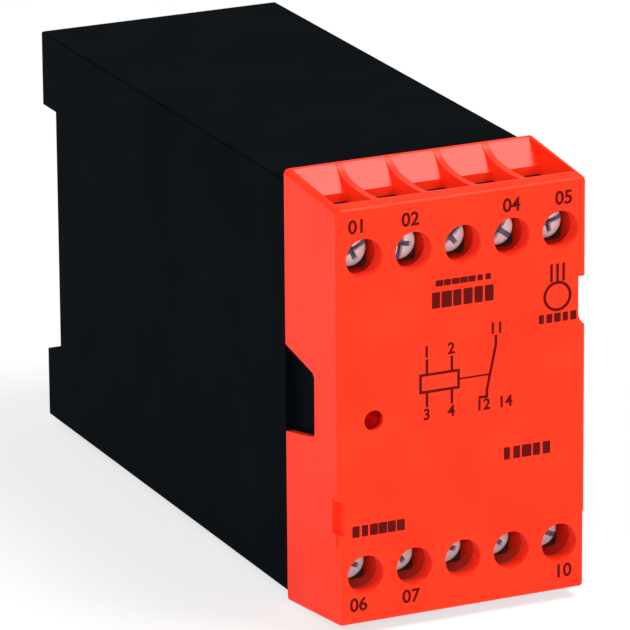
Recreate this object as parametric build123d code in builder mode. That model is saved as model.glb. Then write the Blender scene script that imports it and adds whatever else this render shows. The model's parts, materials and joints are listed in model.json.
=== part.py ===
from build123d import *
from math import cos, radians, sin
import os

# Motor protection relay in a 45 mm wide rail-mounted housing. Millimetres, +Z up.
# The origin is the centre of the bounding box's bottom. The front faces -Y, the rail recess +Y.
# Most places are given as a depth behind the front face and a rise above mid height.

# Overall
DEPTH = 121.0
HEIGHT = 74.0
TERMINALS = 5  # in each row
PITCH = 8.75
DIVIDER = 1.15  # wall between two wire pockets
SKIRT = 1.2  # side wall of the cover
WIDTH = TERMINALS * PITCH - DIVIDER + 2 * SKIRT
FIT_GAP = 0.1  # between pieces that slide or snap together
CUT_PAST = 1.0  # how far a cut runs past the surface it cuts
EMBED = 0.5  # how far a rib or stub is sunk in the wall it grows from

# Cover
COVER_DEPTH = 19.5
COVER_STEP = 1.75  # the cover's rear rim stands this far above and below the housing
COVER_SLOPE = 1.9  # its top and bottom fall by this much towards the front
COVER_DRAFT = 0.25  # and each side by this much
FRONT_WALL = 2.8
CORNER_WALL = 3.2
CORNER_DEPTH = 6.5
EDGE_RADIUS = 0.9
SCREW_HOLE_D = 6.4
LAMP_HOLE_D = 3.4
LAMP_X = -15.9
LAMP_RISE = -0.75

# Wire pockets
ROW_INSET = 10.3  # cover's top to the screw axes
CELL_DROP = 3.9  # screw axis to the pocket's floor
WEB = 1.2
POCKET_BACK = 14.8  # depth at the foot of the sloping back wall
POCKET_FALL = 3.8  # that foot below the cover's top
POCKET_RIM = 0.7  # rear rim's width
POCKET_WALL = 1.5
VALLEY_DIP = 2.1  # how far a divider's edge dips below the rear rim
VALLEY_SETBACK = 1.2  # lowest point of that edge, in front of the pocket's back
VALLEY_SAG = 0.45  # hollow of the edge's long front stretch
VALLEY_REAR_SAG = 0.6  # and of its short rise to the rear rim
VALLEY_RIM_DROP = 0.1
SKIRT_LEDGE = 0.4  # left inside each skirt beside the outermost pockets

# Notches in the cover
SKIRT_NOTCH_MOUTH = 14.9
SKIRT_NOTCH_FLOOR = 10.7
SKIRT_NOTCH_DEPTH = 10.75
SKIRT_NOTCH_RADIUS = 1.0
RIGHT_NOTCH_WIDTH = 1.7
RIGHT_NOTCH_DEPTH = 5.0
RIGHT_NOTCH_TOP = 18.4
RIGHT_NOTCH_HEIGHT = 8.5
RIGHT_NOTCH_CURVE = 2.4
LEFT_NOTCH_WIDTH = 1.3
LEFT_NOTCH_DEPTH = 2.4
LEFT_NOTCH_TOP = -13.8
LEFT_NOTCH_HEIGHT = 5.8
LEFT_STEP_WIDTH = 0.6
LEFT_STEP_DEPTH = 1.2
LEFT_STEP_HEIGHT = 2.5
FOOT_INSET = 0.45
FOOT_TOP = -22.0
FOOT_INSET_DEPTH = 12.0

# Housing
HOUSING_WALL = 2.2
HOUSING_EDGE = 0.4
TONGUE_FRONT = 7.0
TONGUE_END_GAP = 1.9  # to the clamping plates
SNAP_DEPTH = 12.0
SNAP_WIDTH = 1.6
SNAP_HEIGHT = 0.35
SNAP_LENGTH = 10.0
SNAP_END_GAP = 2.2  # to the tongue's end
GUIDE_HEIGHT = 1.6
GUIDE_WIDTH = 1.2
GUIDE_START = 26.0
STOP_X = 11.0
STOP_WIDTH = 2.0
STOP_LENGTH = 3.0

# Rail recess, hooks and latch
RAIL_HEIGHT = 35.0
RAIL_RISE = 3.4  # rail's centre above mid height
RAIL_GAP = 1.5  # slot that takes the rail's flange
RAIL_PLAY = 1.2
RECESS_DEPTH = 5.75
RECESS_BELOW = 6.7  # recess floor below the rail's lower edge
RECESS_SLANT = 2.0
HOOK_REACH = 2.0
HOOK_THICKNESS = 2.5
HOOK_WIDTH = 6.0
HOOK_X = 12.0
HOOK_BEVEL = 0.8
LATCH_WIDTH = 16.0
LATCH_FLANGE = 2.0
LATCH_FLANGE_THICKNESS = 1.9
LATCH_THICKNESS = 3.8
LATCH_NOSE_THICKNESS = 2.8
LATCH_NOSE = 1.7  # overlap with the rail
LATCH_TRAVEL = 3.5
LATCH_INSET = 0.5
LATCH_WINDOW = 8.0
LATCH_WINDOW_WIDTH = 4.4
LATCH_STUB_LIFT = 5.45  # spring's seat above the housing's bottom
LATCH_STUB = 1.2
LATCH_SLIT_WIDTH = 5.0
LATCH_SLIT_HEIGHT = 1.6
LATCH_SLIT_DEPTH = 1.9
LATCH_NOSE_FLAT = 0.9
LATCH_SHOULDER = 1.0
SPRING_D = 3.2
SPRING_WIRE = 0.45
SPRING_TURNS = 6

# Terminals
HEAD_D = 5.9
HEAD_THICKNESS = 2.0
HEAD_DEPTH_UPPER = 4.7  # screws of the upper row, fully open
HEAD_DEPTH_LOWER = 6.0  # screws of the lower row, partly screwed in
HEAD_ROUNDING = 0.4
SLOT_WIDTH = 0.9
SLOT_DEPTH = 1.1
CROSS_LENGTH = 3.6
CROSS_WIDTH = 1.1
CROSS_DEPTH = 1.4
SLOT_ANGLES_UPPER = (25, 80, 40, -35, 15)
SLOT_ANGLES_LOWER = (65, 35, 70, 50, -25)
SHANK_D = 2.9
SHANK_LENGTH = 9.5
SHANK_TIP = 0.7
COLLAR_D = 4.2
COLLAR_THICKNESS = 0.5
RUNNING_GAP = 0.05
PLATE_WIDTH = 7.0
PLATE_HEIGHT = 7.2
PLATE_THICKNESS = 1.0
PLATE_CORNER = 0.7
PLATE_LIP = 0.5
PLATE_LIP_WIDTH = 0.8
BAR_DEPTH = 11.6
BAR_WIDTH = 6.6
BAR_HEIGHT = 7.2
BAR_THICKNESS = 1.2
BAR_TAIL_WIDTH = 2.0
BAR_PIN = 0.8
BLOCK_RISE = 4.9  # screw axis to the block's outer face
BLOCK_DROP = 3.7
BLOCK_BORE_D = 3.6

# Boards
BOARD = 1.6
FRONT_BOARD_DEPTH = 20.5
SIDE_BOARD_X = 17.7  # inner face of the side boards
CONTROL_BOARD_LENGTH = 66.0
BOARD_END_GAP = 3.0
PIN = 0.64
LEAD_HOLE = 0.95
LEAD_STUB = 0.7  # lead's length behind a board
HEADER_PINS = 6
HEADER_PITCH = 8.0
HEADER_STANDOFF = 1.7
HEADER_SETBACK = 2.5

# Lamp
LAMP_D = 3.0
LAMP_FLANGE_D = 3.8
LAMP_FLANGE = 1.0
LAMP_LENGTH = 5.0
LAMP_DOME = 0.75
LAMP_SETBACK = 0.15
LAMP_LEAD_SPACING = 1.27
LAMP_LEAD = 0.5
SPACER_D = 4.4
SPACER_BORE_D = 2.6

# Transformer on the main board
CORE_BACK_GAP = 6.05  # to the rear wall
CORE_LENGTH = 30.0
CORE_STAND = 25.0
CORE_STACK = 12.5
CORE_LEG = 5.0
CORE_LIFT = 1.0  # core's clearance over the board
BOBBIN_WALL = 0.8
BOBBIN_FLANGE = 1.2
BOBBIN_HALF_HEIGHT = 12.5
BOBBIN_FOOT = 4.0
WINDING_INSET = 0.4
WINDING_CORNER = 2.5
TRANSFORMER_PIN_PITCH = 6.0

# Relay on the main board
RELAY_SETBACK = 8.0  # behind the front board
RELAY_RISE = 14.35
RELAY_WIDTH = 12.7
RELAY_STAND = 25.6
RELAY_WALL = 0.8
RELAY_LIFT = 0.4
RELAY_BASE = 3.0
RELAY_END_GAP = 0.6
YOKE_START = 2.4
YOKE = 1.5
YOKE_LENGTH = 12.6
YOKE_STAND = 19.0
YOKE_WIDTH = 10.0
YOKE_PIN_GAP = 0.65
COIL_CENTRE = 10.0
COIL_D = 10.2
COIL_FLANGE = 10.4
COIL_FLANGE_CORNER = 1.0
POLE_D = 8.0
POLE = 0.8
CORE_D = 6.0
AIR_GAP = 0.1
ARMATURE = 1.2
ARMATURE_LENGTH = 12.6
ARMATURE_HEEL = 0.9
ARMATURE_WIDTH = 9.0
ARMATURE_ANGLE = 4.0
BLADE = 0.25
BLADE_START = 2.5
BLADE_TIP = 0.1  # past the moving contact
BLADE_WIDTH = 4.0
CONTACT_D = 2.6
CONTACT_REACH = 22.8
CONTACT_BELOW = 0.6
CONTACT_ABOVE = 2.0
STRIP = 0.6
STRIP_WIDTH = 4.0
MAKE_STRIP_GAP = 2.6  # from its upright to the contacts
BREAK_STRIP_GAP = 1.1

# Other components of the main board, each place a depth behind the front board and a rise
LEAD = 0.6
SMOOTHING_D = 12.5
SMOOTHING_STAND = 20.0
SMOOTHING_ROUNDING = 0.8
SMOOTHING_AT = (27.4, -11.0)
SMOOTHING_LEADS = 5.0
FILM_SIZE = (13.0, 6.0, 12.0)
FILM_CORNER = 0.6
FILM_AT = (11.9, -4.0)
FILM_LEADS = 10.0
VARISTOR_D = 9.0
VARISTOR_THICKNESS = 4.0
VARISTOR_LIFT = 1.0
VARISTOR_AT = (11.9, -12.0)
VARISTOR_LEADS = 5.0
AXIAL_LIFT = 0.3
AXIAL_SPAN = 10.0
DIODE_D = 2.7
DIODE_LENGTH = 5.2
DIODE_COUNT = 4
DIODE_PITCH = 13.0
DIODE_START = 11.9
DIODE_EDGE = 7.85  # from the board's lower edge

# Components of the control board, placed in the same way
RESISTOR_D = 2.4
RESISTOR_LENGTH = 6.3
RESISTOR_COLUMNS = 3
RESISTOR_PITCH = 13.0
RESISTOR_START = 13.9
RESISTOR_RISES = (-10.0, -16.0)
TIMING_D = 6.3
TIMING_STAND = 11.0
TIMING_LEADS = 2.5
TIMING_DEPTH = 56.9
TIMING_RISES = (12.0, 22.0)
CHIP_LENGTH = 19.0
CHIP_WIDTH = 6.4
CHIP_THICKNESS = 3.2
CHIP_LIFT = 0.6
CHIP_LEG_PITCH = 2.54
CHIP_LEG_SPAN = 7.62
CHIP_LEGS = 7
CHIP_LEG = 0.5
CHIPS = {"comparator_chip": (17.9, 12.0), "logic_chip": (33.9, 12.0)}

FRONT = -DEPTH / 2
MID = HEIGHT / 2
SIDE = WIDTH / 2
ROW_RISE = MID - ROW_INSET
HOUSING_RISE = MID - COVER_STEP
TONGUE_HALF_HEIGHT = ROW_RISE - PLATE_HEIGHT / 2 - TONGUE_END_GAP
SNAP_RISE = TONGUE_HALF_HEIGHT - SNAP_END_GAP - SNAP_LENGTH / 2
INNER_SIDE = SIDE - HOUSING_WALL
INNER_RISE = HOUSING_RISE - HOUSING_WALL
CELL_WIDTH = PITCH - DIVIDER
HOLE_XS = [(i - (TERMINALS - 1) / 2) * PITCH for i in range(TERMINALS)]
UPPER, LOWER = 1, -1


def section(row=UPPER, x=0.0):
    """Plane of a lengthwise section: first axis is the depth, second the rise away from mid height."""
    return Plane(origin=(x, FRONT, MID), x_dir=(0, 1, 0), z_dir=(row, 0, 0))


def across(depth, rise=0.0, x=0.0):
    """Plane parallel to the front face, facing the front: first axis X, second axis Z."""
    return Plane(origin=(x, FRONT + depth, MID + rise), x_dir=(1, 0, 0), z_dir=(0, -1, 0))


def plan(rise=0.0):
    """Level plane: first axis X, second axis the depth."""
    return Plane(origin=(0, FRONT, MID + rise), x_dir=(1, 0, 0), z_dir=(0, 0, 1))


def on_board(points):
    """Depths and rises as points of a plane that stands along a side board."""
    return [(FRONT + depth, MID + rise) for depth, rise in points]


def lead_pair(depth, rise, span):
    """Depth and rise of a component's two leads."""
    return [(depth + s * span / 2, rise) for s in (1, -1)]


def finish(part, name):
    part.label = name
    export_step(part, f"parts/{name}.step")


os.makedirs("parts", exist_ok=True)

# Front cover
cover_rim_start = COVER_DEPTH - POCKET_RIM
slope_run = cover_rim_start - POCKET_BACK
block_top = ROW_RISE + BLOCK_RISE
floor_rise = ROW_RISE - CELL_DROP
block_front = BAR_DEPTH + BAR_THICKNESS
notch_half_mouth = SKIRT_NOTCH_MOUTH / 2
notch_half_floor = SKIRT_NOTCH_FLOOR / 2
skirt_face = SIDE - SKIRT
tongue_face = skirt_face - FIT_GAP

with BuildPart() as front_cover:
    with BuildSketch(section()):
        with BuildLine():
            Polyline(
                (0, COVER_SLOPE - MID),
                (COVER_DEPTH, -MID),
                (COVER_DEPTH, MID),
                (0, MID - COVER_SLOPE),
                close=True,
            )
        make_face()
    extrude(amount=SIDE, both=True)
    with BuildSketch(plan()):
        with BuildLine():
            Polyline(
                (COVER_DRAFT - SIDE, 0),
                (SIDE - COVER_DRAFT, 0),
                (SIDE, COVER_DEPTH),
                (-SIDE, COVER_DEPTH),
                close=True,
            )
        make_face()
    extrude(amount=HEIGHT, both=True, mode=Mode.INTERSECT)
    long_edges = front_cover.edges().filter_by(lambda e: abs((e % 0.5).Y) > 0.9)
    fillet(front_cover.faces().sort_by(Axis.Y)[0].edges() + long_edges, EDGE_RADIUS)

    # the hollow behind the front wall, between the two terminal rows
    with BuildSketch(section()):
        with Locations(((FRONT_WALL + COVER_DEPTH) / 2, 0)):
            Rectangle(COVER_DEPTH - FRONT_WALL, 2 * (floor_rise - WEB))
    extrude(amount=SIDE - CORNER_WALL, both=True, mode=Mode.SUBTRACT)
    with BuildSketch(section()):
        with Locations(((CORNER_DEPTH + COVER_DEPTH) / 2, 0)):
            Rectangle(COVER_DEPTH - CORNER_DEPTH, 2 * (floor_rise - WEB))
    extrude(amount=skirt_face, both=True, mode=Mode.SUBTRACT)

    for row in (UPPER, LOWER):
        # room for the terminal block, and a hollow under the sloping back walls of the pockets
        back = POCKET_BACK + POCKET_WALL
        under_slope = MID - POCKET_FALL - POCKET_WALL / 2
        with BuildSketch(section(row)):
            with Locations((block_front, 0)):
                room = (COVER_DEPTH + CUT_PAST - block_front, block_top + FIT_GAP)
                Rectangle(*room, align=(Align.MIN, Align.MIN))
            with BuildLine():
                Polyline(
                    (back, 0),
                    (back, under_slope),
                    (back + slope_run, under_slope + POCKET_FALL),
                    (back + slope_run, 0),
                    close=True,
                )
            make_face()
        extrude(amount=skirt_face, both=True, mode=Mode.SUBTRACT)
        # hollow curve of the dividers' edges
        with BuildSketch(section(row)):
            with BuildLine():
                rim = (FRONT_WALL, MID - COVER_SLOPE - VALLEY_RIM_DROP)
                dip = (POCKET_BACK - VALLEY_SETBACK, MID - VALLEY_DIP)
                rear = (cover_rim_start, MID + VALLEY_RIM_DROP)
                sag = ((rim[0] + dip[0]) / 2, (rim[1] + dip[1]) / 2 - VALLEY_SAG)
                rear_sag = ((dip[0] + rear[0]) / 2, (dip[1] + rear[1]) / 2 - VALLEY_REAR_SAG)
                ThreePointArc(rim, sag, dip)
                ThreePointArc(dip, rear_sag, rear)
                Polyline(rear, (rear[0], MID + CUT_PAST), (FRONT_WALL, MID + CUT_PAST), rim)
            make_face()
        extrude(amount=skirt_face - SKIRT_LEDGE, both=True, mode=Mode.SUBTRACT)
        # wire pockets
        for x in HOLE_XS:
            with BuildSketch(section(row, x)):
                with BuildLine():
                    Polyline(
                        (FRONT_WALL, floor_rise),
                        (FRONT_WALL, MID + CUT_PAST),
                        (cover_rim_start + CUT_PAST * slope_run / POCKET_FALL, MID + CUT_PAST),
                        (POCKET_BACK, MID - POCKET_FALL),
                        (POCKET_BACK, block_top),
                        (block_front + FIT_GAP, block_top),
                        (block_front + FIT_GAP, floor_rise),
                        close=True,
                    )
                make_face()
            extrude(amount=CELL_WIDTH / 2, both=True, mode=Mode.SUBTRACT)
    # screwdriver holes
    with BuildSketch(across(FRONT_WALL)):
        with Locations(*[(x, row * ROW_RISE) for row in (UPPER, LOWER) for x in HOLE_XS]):
            Circle(SCREW_HOLE_D / 2)
    extrude(amount=FRONT_WALL, mode=Mode.SUBTRACT)
    with BuildSketch(across(FRONT_WALL)):
        with Locations((LAMP_X, LAMP_RISE)):
            Circle(LAMP_HOLE_D / 2)
    extrude(amount=FRONT_WALL, mode=Mode.SUBTRACT)

    # notches half way up both skirts
    with BuildSketch(section()):
        with BuildLine():
            notch_start = COVER_DEPTH - SKIRT_NOTCH_DEPTH
            Polyline(
                (COVER_DEPTH + CUT_PAST, -notch_half_mouth),
                (COVER_DEPTH, -notch_half_mouth),
                (notch_start, -notch_half_floor),
                (notch_start, notch_half_floor),
                (COVER_DEPTH, notch_half_mouth),
                (COVER_DEPTH + CUT_PAST, notch_half_mouth),
                close=True,
            )
        make_face()
        fillet(vertices().group_by(Axis.X)[0], SKIRT_NOTCH_RADIUS)
    extrude(amount=SIDE, both=True, mode=Mode.SUBTRACT)
    # grooves that snap over the housing's tongues
    with BuildSketch(section()):
        with Locations(*[(SNAP_DEPTH + SNAP_WIDTH / 2, side * SNAP_RISE) for side in (1, -1)]):
            Rectangle(SNAP_WIDTH + 2 * FIT_GAP, SNAP_LENGTH + 2 * FIT_GAP)
    extrude(amount=tongue_face + SNAP_HEIGHT + FIT_GAP, both=True, mode=Mode.SUBTRACT)

    # notch in the right front edge, square above and curved out below
    with BuildSketch(across(RIGHT_NOTCH_DEPTH)):
        with BuildLine():
            inner = SIDE - RIGHT_NOTCH_WIDTH
            bottom = RIGHT_NOTCH_TOP - RIGHT_NOTCH_HEIGHT
            outer = SIDE + CUT_PAST
            curve_top = (inner, bottom + RIGHT_NOTCH_CURVE)
            corner = (inner, RIGHT_NOTCH_TOP)
            Polyline((SIDE, bottom), (outer, bottom), (outer, RIGHT_NOTCH_TOP), corner, curve_top)
            TangentArc(curve_top, (SIDE, bottom), tangent=(0, -1))
        make_face()
    extrude(amount=RIGHT_NOTCH_DEPTH, mode=Mode.SUBTRACT)
    # stepped notch in the left front edge
    with BuildSketch(across(LEFT_NOTCH_DEPTH)):
        with Locations((-SIDE, LEFT_NOTCH_TOP)):
            Rectangle(2 * LEFT_NOTCH_WIDTH, LEFT_NOTCH_HEIGHT, align=(Align.CENTER, Align.MAX))
    extrude(amount=LEFT_NOTCH_DEPTH, mode=Mode.SUBTRACT)
    with BuildSketch(across(LEFT_STEP_DEPTH)):
        with Locations((-SIDE, LEFT_NOTCH_TOP - LEFT_NOTCH_HEIGHT)):
            Rectangle(2 * LEFT_STEP_WIDTH, LEFT_STEP_HEIGHT, align=(Align.CENTER, Align.MAX))
    extrude(amount=LEFT_STEP_DEPTH, mode=Mode.SUBTRACT)
    # the foot is a little narrower towards the front
    with BuildSketch(plan(-MID)):
        for side in (1, -1):
            with BuildLine():
                Polyline(
                    (side * (SIDE - COVER_DRAFT - FOOT_INSET), 0),
                    (side * (SIDE + CUT_PAST), 0),
                    (side * (SIDE + CUT_PAST), FOOT_INSET_DEPTH),
                    (side * SIDE, FOOT_INSET_DEPTH),
                    close=True,
                )
            make_face()
    extrude(amount=MID + FOOT_TOP, mode=Mode.SUBTRACT)
finish(front_cover.part, "front_cover")

# Housing
housing_front = COVER_DEPTH + FIT_GAP
recess_wall = DEPTH - RECESS_DEPTH
cavity_end = recess_wall - HOUSING_WALL
lip_end = DEPTH - HOUSING_WALL
rail_top = RAIL_RISE + RAIL_HEIGHT / 2
rail_bottom = RAIL_RISE - RAIL_HEIGHT / 2
recess_top = rail_top + RAIL_PLAY
recess_bottom = rail_bottom - RECESS_BELOW
slot_face = recess_wall + RAIL_GAP
latch_bottom = LATCH_INSET - HOUSING_RISE
stub_top = LATCH_STUB_LIFT - HOUSING_RISE
stub_bottom = stub_top - LATCH_STUB
channel_half = LATCH_WIDTH / 2 + LATCH_FLANGE + FIT_GAP
mouth_half = LATCH_WIDTH / 2 + FIT_GAP

with BuildPart() as housing:
    with BuildSketch(section()):
        with BuildLine():
            Polyline(
                (housing_front, -HOUSING_RISE),
                (housing_front, HOUSING_RISE),
                (DEPTH, HOUSING_RISE),
                (DEPTH, recess_top),
                (recess_wall, recess_top),
                (recess_wall, recess_bottom),
                (DEPTH, recess_bottom - RECESS_SLANT),
                (DEPTH, -HOUSING_RISE),
                close=True,
            )
        make_face()
    extrude(amount=SIDE, both=True)
    outer_edges = housing.edges().filter_by(Axis.Y).filter_by(lambda e: e.length > lip_end - housing_front)
    fillet(outer_edges, HOUSING_EDGE)
    # tongues that reach under the cover's skirts
    with BuildSketch(section()):
        tongue_end = housing_front + HOUSING_WALL
        with Locations(((TONGUE_FRONT + tongue_end) / 2, 0)):
            Rectangle(tongue_end - TONGUE_FRONT, 2 * TONGUE_HALF_HEIGHT)
    extrude(amount=tongue_face, both=True)
    with BuildSketch(section()):
        with Locations(*[(SNAP_DEPTH, side * SNAP_RISE) for side in (1, -1)]):
            Rectangle(SNAP_WIDTH, SNAP_LENGTH, align=(Align.MIN, Align.CENTER))
    extrude(amount=tongue_face + SNAP_HEIGHT, both=True)
    # the hollow
    with BuildSketch(section()):
        with Locations((cavity_end / 2, 0)):
            Rectangle(cavity_end, 2 * INNER_RISE)
        with BuildLine():
            Polyline(
                (cavity_end - CUT_PAST, recess_top + HOUSING_WALL),
                (cavity_end - CUT_PAST, INNER_RISE),
                (lip_end, INNER_RISE),
                (lip_end, recess_top + HOUSING_WALL),
                close=True,
            )
        make_face()
    extrude(amount=INNER_SIDE, both=True, mode=Mode.SUBTRACT)
    for side in (1, -1):
        # cored-out pockets beside the latch
        with BuildSketch(Plane.YZ.offset(side * (channel_half + HOUSING_WALL))):
            with BuildLine():
                Polyline(
                    (FRONT + cavity_end - CUT_PAST, MID - INNER_RISE),
                    (FRONT + lip_end, MID - INNER_RISE),
                    (FRONT + lip_end, MID + recess_bottom - RECESS_SLANT - HOUSING_WALL),
                    (FRONT + cavity_end - CUT_PAST, MID + recess_bottom - HOUSING_WALL),
                    close=True,
                )
            make_face()
        extrude(amount=side * (INNER_SIDE - channel_half - HOUSING_WALL), mode=Mode.SUBTRACT)
        # fixed hooks for the rail's upper edge
        with BuildSketch(section(x=side * HOOK_X)):
            with BuildLine():
                Polyline(
                    (slot_face, recess_top + EMBED),
                    (slot_face, rail_top - HOOK_REACH + HOOK_BEVEL),
                    (slot_face + HOOK_BEVEL, rail_top - HOOK_REACH),
                    (slot_face + HOOK_THICKNESS, rail_top - HOOK_REACH),
                    (slot_face + HOOK_THICKNESS, recess_top + EMBED),
                    close=True,
                )
            make_face()
        extrude(amount=HOOK_WIDTH / 2, both=True)
        # guide ribs for the two side boards and stops for the front board
        for row in (UPPER, LOWER):
            inner_rib = side * (SIDE_BOARD_X - FIT_GAP - GUIDE_WIDTH / 2)
            outer_rib_width = INNER_SIDE - SIDE_BOARD_X - BOARD - FIT_GAP
            outer_rib = side * (INNER_SIDE - outer_rib_width / 2)
            rib_height = GUIDE_HEIGHT + EMBED
            rib_rise = row * (INNER_RISE + EMBED - rib_height / 2)
            with BuildSketch(across(cavity_end + EMBED)):
                with Locations((inner_rib, rib_rise)):
                    Rectangle(GUIDE_WIDTH, rib_height)
                with Locations((outer_rib + side * EMBED / 2, rib_rise)):
                    Rectangle(outer_rib_width + EMBED, rib_height)
            extrude(amount=cavity_end + EMBED - GUIDE_START)
            stop_end = FRONT_BOARD_DEPTH + BOARD + FIT_GAP + STOP_LENGTH
            with BuildSketch(across(stop_end)):
                with Locations((side * STOP_X, rib_rise)):
                    Rectangle(STOP_WIDTH, rib_height)
            extrude(amount=STOP_LENGTH)
    # channel for the rail latch, with the stub that its spring stands on
    with BuildSketch(plan(recess_bottom + CUT_PAST)):
        with Locations((0, slot_face - FIT_GAP)):
            groove = LATCH_FLANGE_THICKNESS + 2 * FIT_GAP
            Rectangle(2 * channel_half, groove, align=(Align.CENTER, Align.MIN))
        with Locations((0, slot_face)):
            Rectangle(2 * mouth_half, RECESS_DEPTH, align=(Align.CENTER, Align.MIN))
    extrude(amount=-(HOUSING_RISE + recess_bottom + 2 * CUT_PAST), mode=Mode.SUBTRACT)
    with BuildSketch(section()):
        with Locations((slot_face - EMBED, stub_bottom)):
            Rectangle(LATCH_THICKNESS - FIT_GAP, LATCH_STUB, align=(Align.MIN, Align.MIN))
    extrude(amount=LATCH_WINDOW_WIDTH / 2 - 2 * FIT_GAP, both=True)
finish(housing.part, "housing")

# Rail latch
nose_top = rail_bottom + LATCH_NOSE
window_bottom = stub_bottom - FIT_GAP
window_top = window_bottom + LATCH_WINDOW
with BuildPart() as rail_latch:
    with BuildSketch(section()):
        with BuildLine():
            neck = recess_bottom - RECESS_SLANT
            Polyline(
                (slot_face, latch_bottom),
                (slot_face, nose_top),
                (slot_face + LATCH_NOSE_FLAT, nose_top),
                (slot_face + LATCH_NOSE_THICKNESS, nose_top - LATCH_NOSE_THICKNESS),
                (slot_face + LATCH_NOSE_THICKNESS, neck + LATCH_TRAVEL + LATCH_SHOULDER),
                (slot_face + LATCH_THICKNESS, neck + LATCH_TRAVEL),
                (slot_face + LATCH_THICKNESS, latch_bottom),
                close=True,
            )
        make_face()
    extrude(amount=LATCH_WIDTH / 2, both=True)
    with BuildSketch(section()):
        with Locations((slot_face, latch_bottom)):
            flange_height = recess_bottom - RECESS_SLANT - latch_bottom
            Rectangle(LATCH_FLANGE_THICKNESS, flange_height, align=(Align.MIN, Align.MIN))
    extrude(amount=LATCH_WIDTH / 2 + LATCH_FLANGE, both=True)
    with BuildSketch(across(DEPTH)):
        with Locations((0, window_bottom)):
            Rectangle(LATCH_WINDOW_WIDTH, LATCH_WINDOW, align=(Align.CENTER, Align.MIN))
    extrude(amount=RECESS_DEPTH, mode=Mode.SUBTRACT)
    # screwdriver slit in the outer end
    with BuildSketch(across(slot_face + LATCH_THICKNESS)):
        with Locations((0, latch_bottom + LATCH_SLIT_HEIGHT)):
            Rectangle(LATCH_SLIT_WIDTH, LATCH_SLIT_HEIGHT, align=(Align.CENTER, Align.MIN))
    extrude(amount=LATCH_SLIT_DEPTH, mode=Mode.SUBTRACT)
finish(rail_latch.part, "rail_latch")

# Latch spring, standing on the stub and pushing on the window's upper edge
spring_length = window_top - stub_top - 2 * FIT_GAP - SPRING_WIRE
spring_x = slot_face + LATCH_THICKNESS / 2
spring_r = (SPRING_D - SPRING_WIRE) / 2
spring_foot = MID + stub_top + FIT_GAP + SPRING_WIRE / 2
with BuildPart() as latch_spring:
    with BuildLine(Plane(origin=(0, FRONT + spring_x, spring_foot))):
        coil = Helix(pitch=spring_length / SPRING_TURNS, height=spring_length, radius=spring_r)
    with BuildSketch(Plane(origin=coil @ 0, z_dir=coil % 0)):
        Circle(SPRING_WIRE / 2)
    sweep()
finish(latch_spring.part, "latch_spring")

# Terminal screws and clamping plates
for number in range(1, 2 * TERMINALS + 1):
    upper = number <= TERMINALS
    column = (number - 1) % TERMINALS
    x = HOLE_XS[column]
    rise = ROW_RISE if upper else -ROW_RISE
    head_depth = HEAD_DEPTH_UPPER if upper else HEAD_DEPTH_LOWER
    angle = (SLOT_ANGLES_UPPER if upper else SLOT_ANGLES_LOWER)[column]
    plate_front = head_depth + HEAD_THICKNESS + RUNNING_GAP
    plate_back = plate_front + PLATE_THICKNESS
    collar_front = plate_back + RUNNING_GAP
    collar_back = collar_front + COLLAR_THICKNESS

    with BuildPart() as terminal_screw:
        with BuildSketch(Plane(origin=(x, FRONT, MID + rise), x_dir=(0, 1, 0), z_dir=(1, 0, 0))):
            with BuildLine():
                end = head_depth + HEAD_THICKNESS + SHANK_LENGTH
                Polyline(
                    (head_depth, 0),
                    (head_depth, HEAD_D / 2 - HEAD_ROUNDING),
                    (head_depth + HEAD_ROUNDING, HEAD_D / 2),
                    (head_depth + HEAD_THICKNESS, HEAD_D / 2),
                    (head_depth + HEAD_THICKNESS, SHANK_D / 2),
                    (collar_front, SHANK_D / 2),
                    (collar_front, COLLAR_D / 2),
                    (collar_back, COLLAR_D / 2),
                    (collar_back, SHANK_D / 2),
                    (end - SHANK_TIP, SHANK_D / 2),
                    (end, SHANK_D / 2 - SHANK_TIP),
                    (end, 0),
                    close=True,
                )
            make_face()
        revolve(axis=Axis((x, FRONT, MID + rise), (0, 1, 0)))
        with BuildSketch(across(head_depth + SLOT_DEPTH, rise, x).rotated((0, 0, angle))):
            Rectangle(HEAD_D + CUT_PAST, SLOT_WIDTH)
        extrude(amount=SLOT_DEPTH, mode=Mode.SUBTRACT)
        with BuildSketch(across(head_depth + CROSS_DEPTH, rise, x).rotated((0, 0, angle))):
            Rectangle(CROSS_WIDTH, CROSS_LENGTH)
        extrude(amount=CROSS_DEPTH, mode=Mode.SUBTRACT)
    finish(terminal_screw.part, f"terminal_screw_{number:02d}")

    with BuildPart() as clamp_plate:
        with BuildSketch(across(plate_back, rise, x)):
            RectangleRounded(PLATE_WIDTH, PLATE_HEIGHT, PLATE_CORNER)
            Circle(SHANK_D / 2 + RUNNING_GAP, mode=Mode.SUBTRACT)
        extrude(amount=PLATE_THICKNESS)
        with BuildSketch(across(plate_back + PLATE_LIP, rise, x)):
            with Locations(*[(side * (PLATE_WIDTH - PLATE_LIP_WIDTH) / 2, 0) for side in (1, -1)]):
                Rectangle(PLATE_LIP_WIDTH, PLATE_HEIGHT - 2 * PLATE_CORNER)
        extrude(amount=PLATE_LIP)
    finish(clamp_plate.part, f"clamp_plate_{number:02d}")

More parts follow.
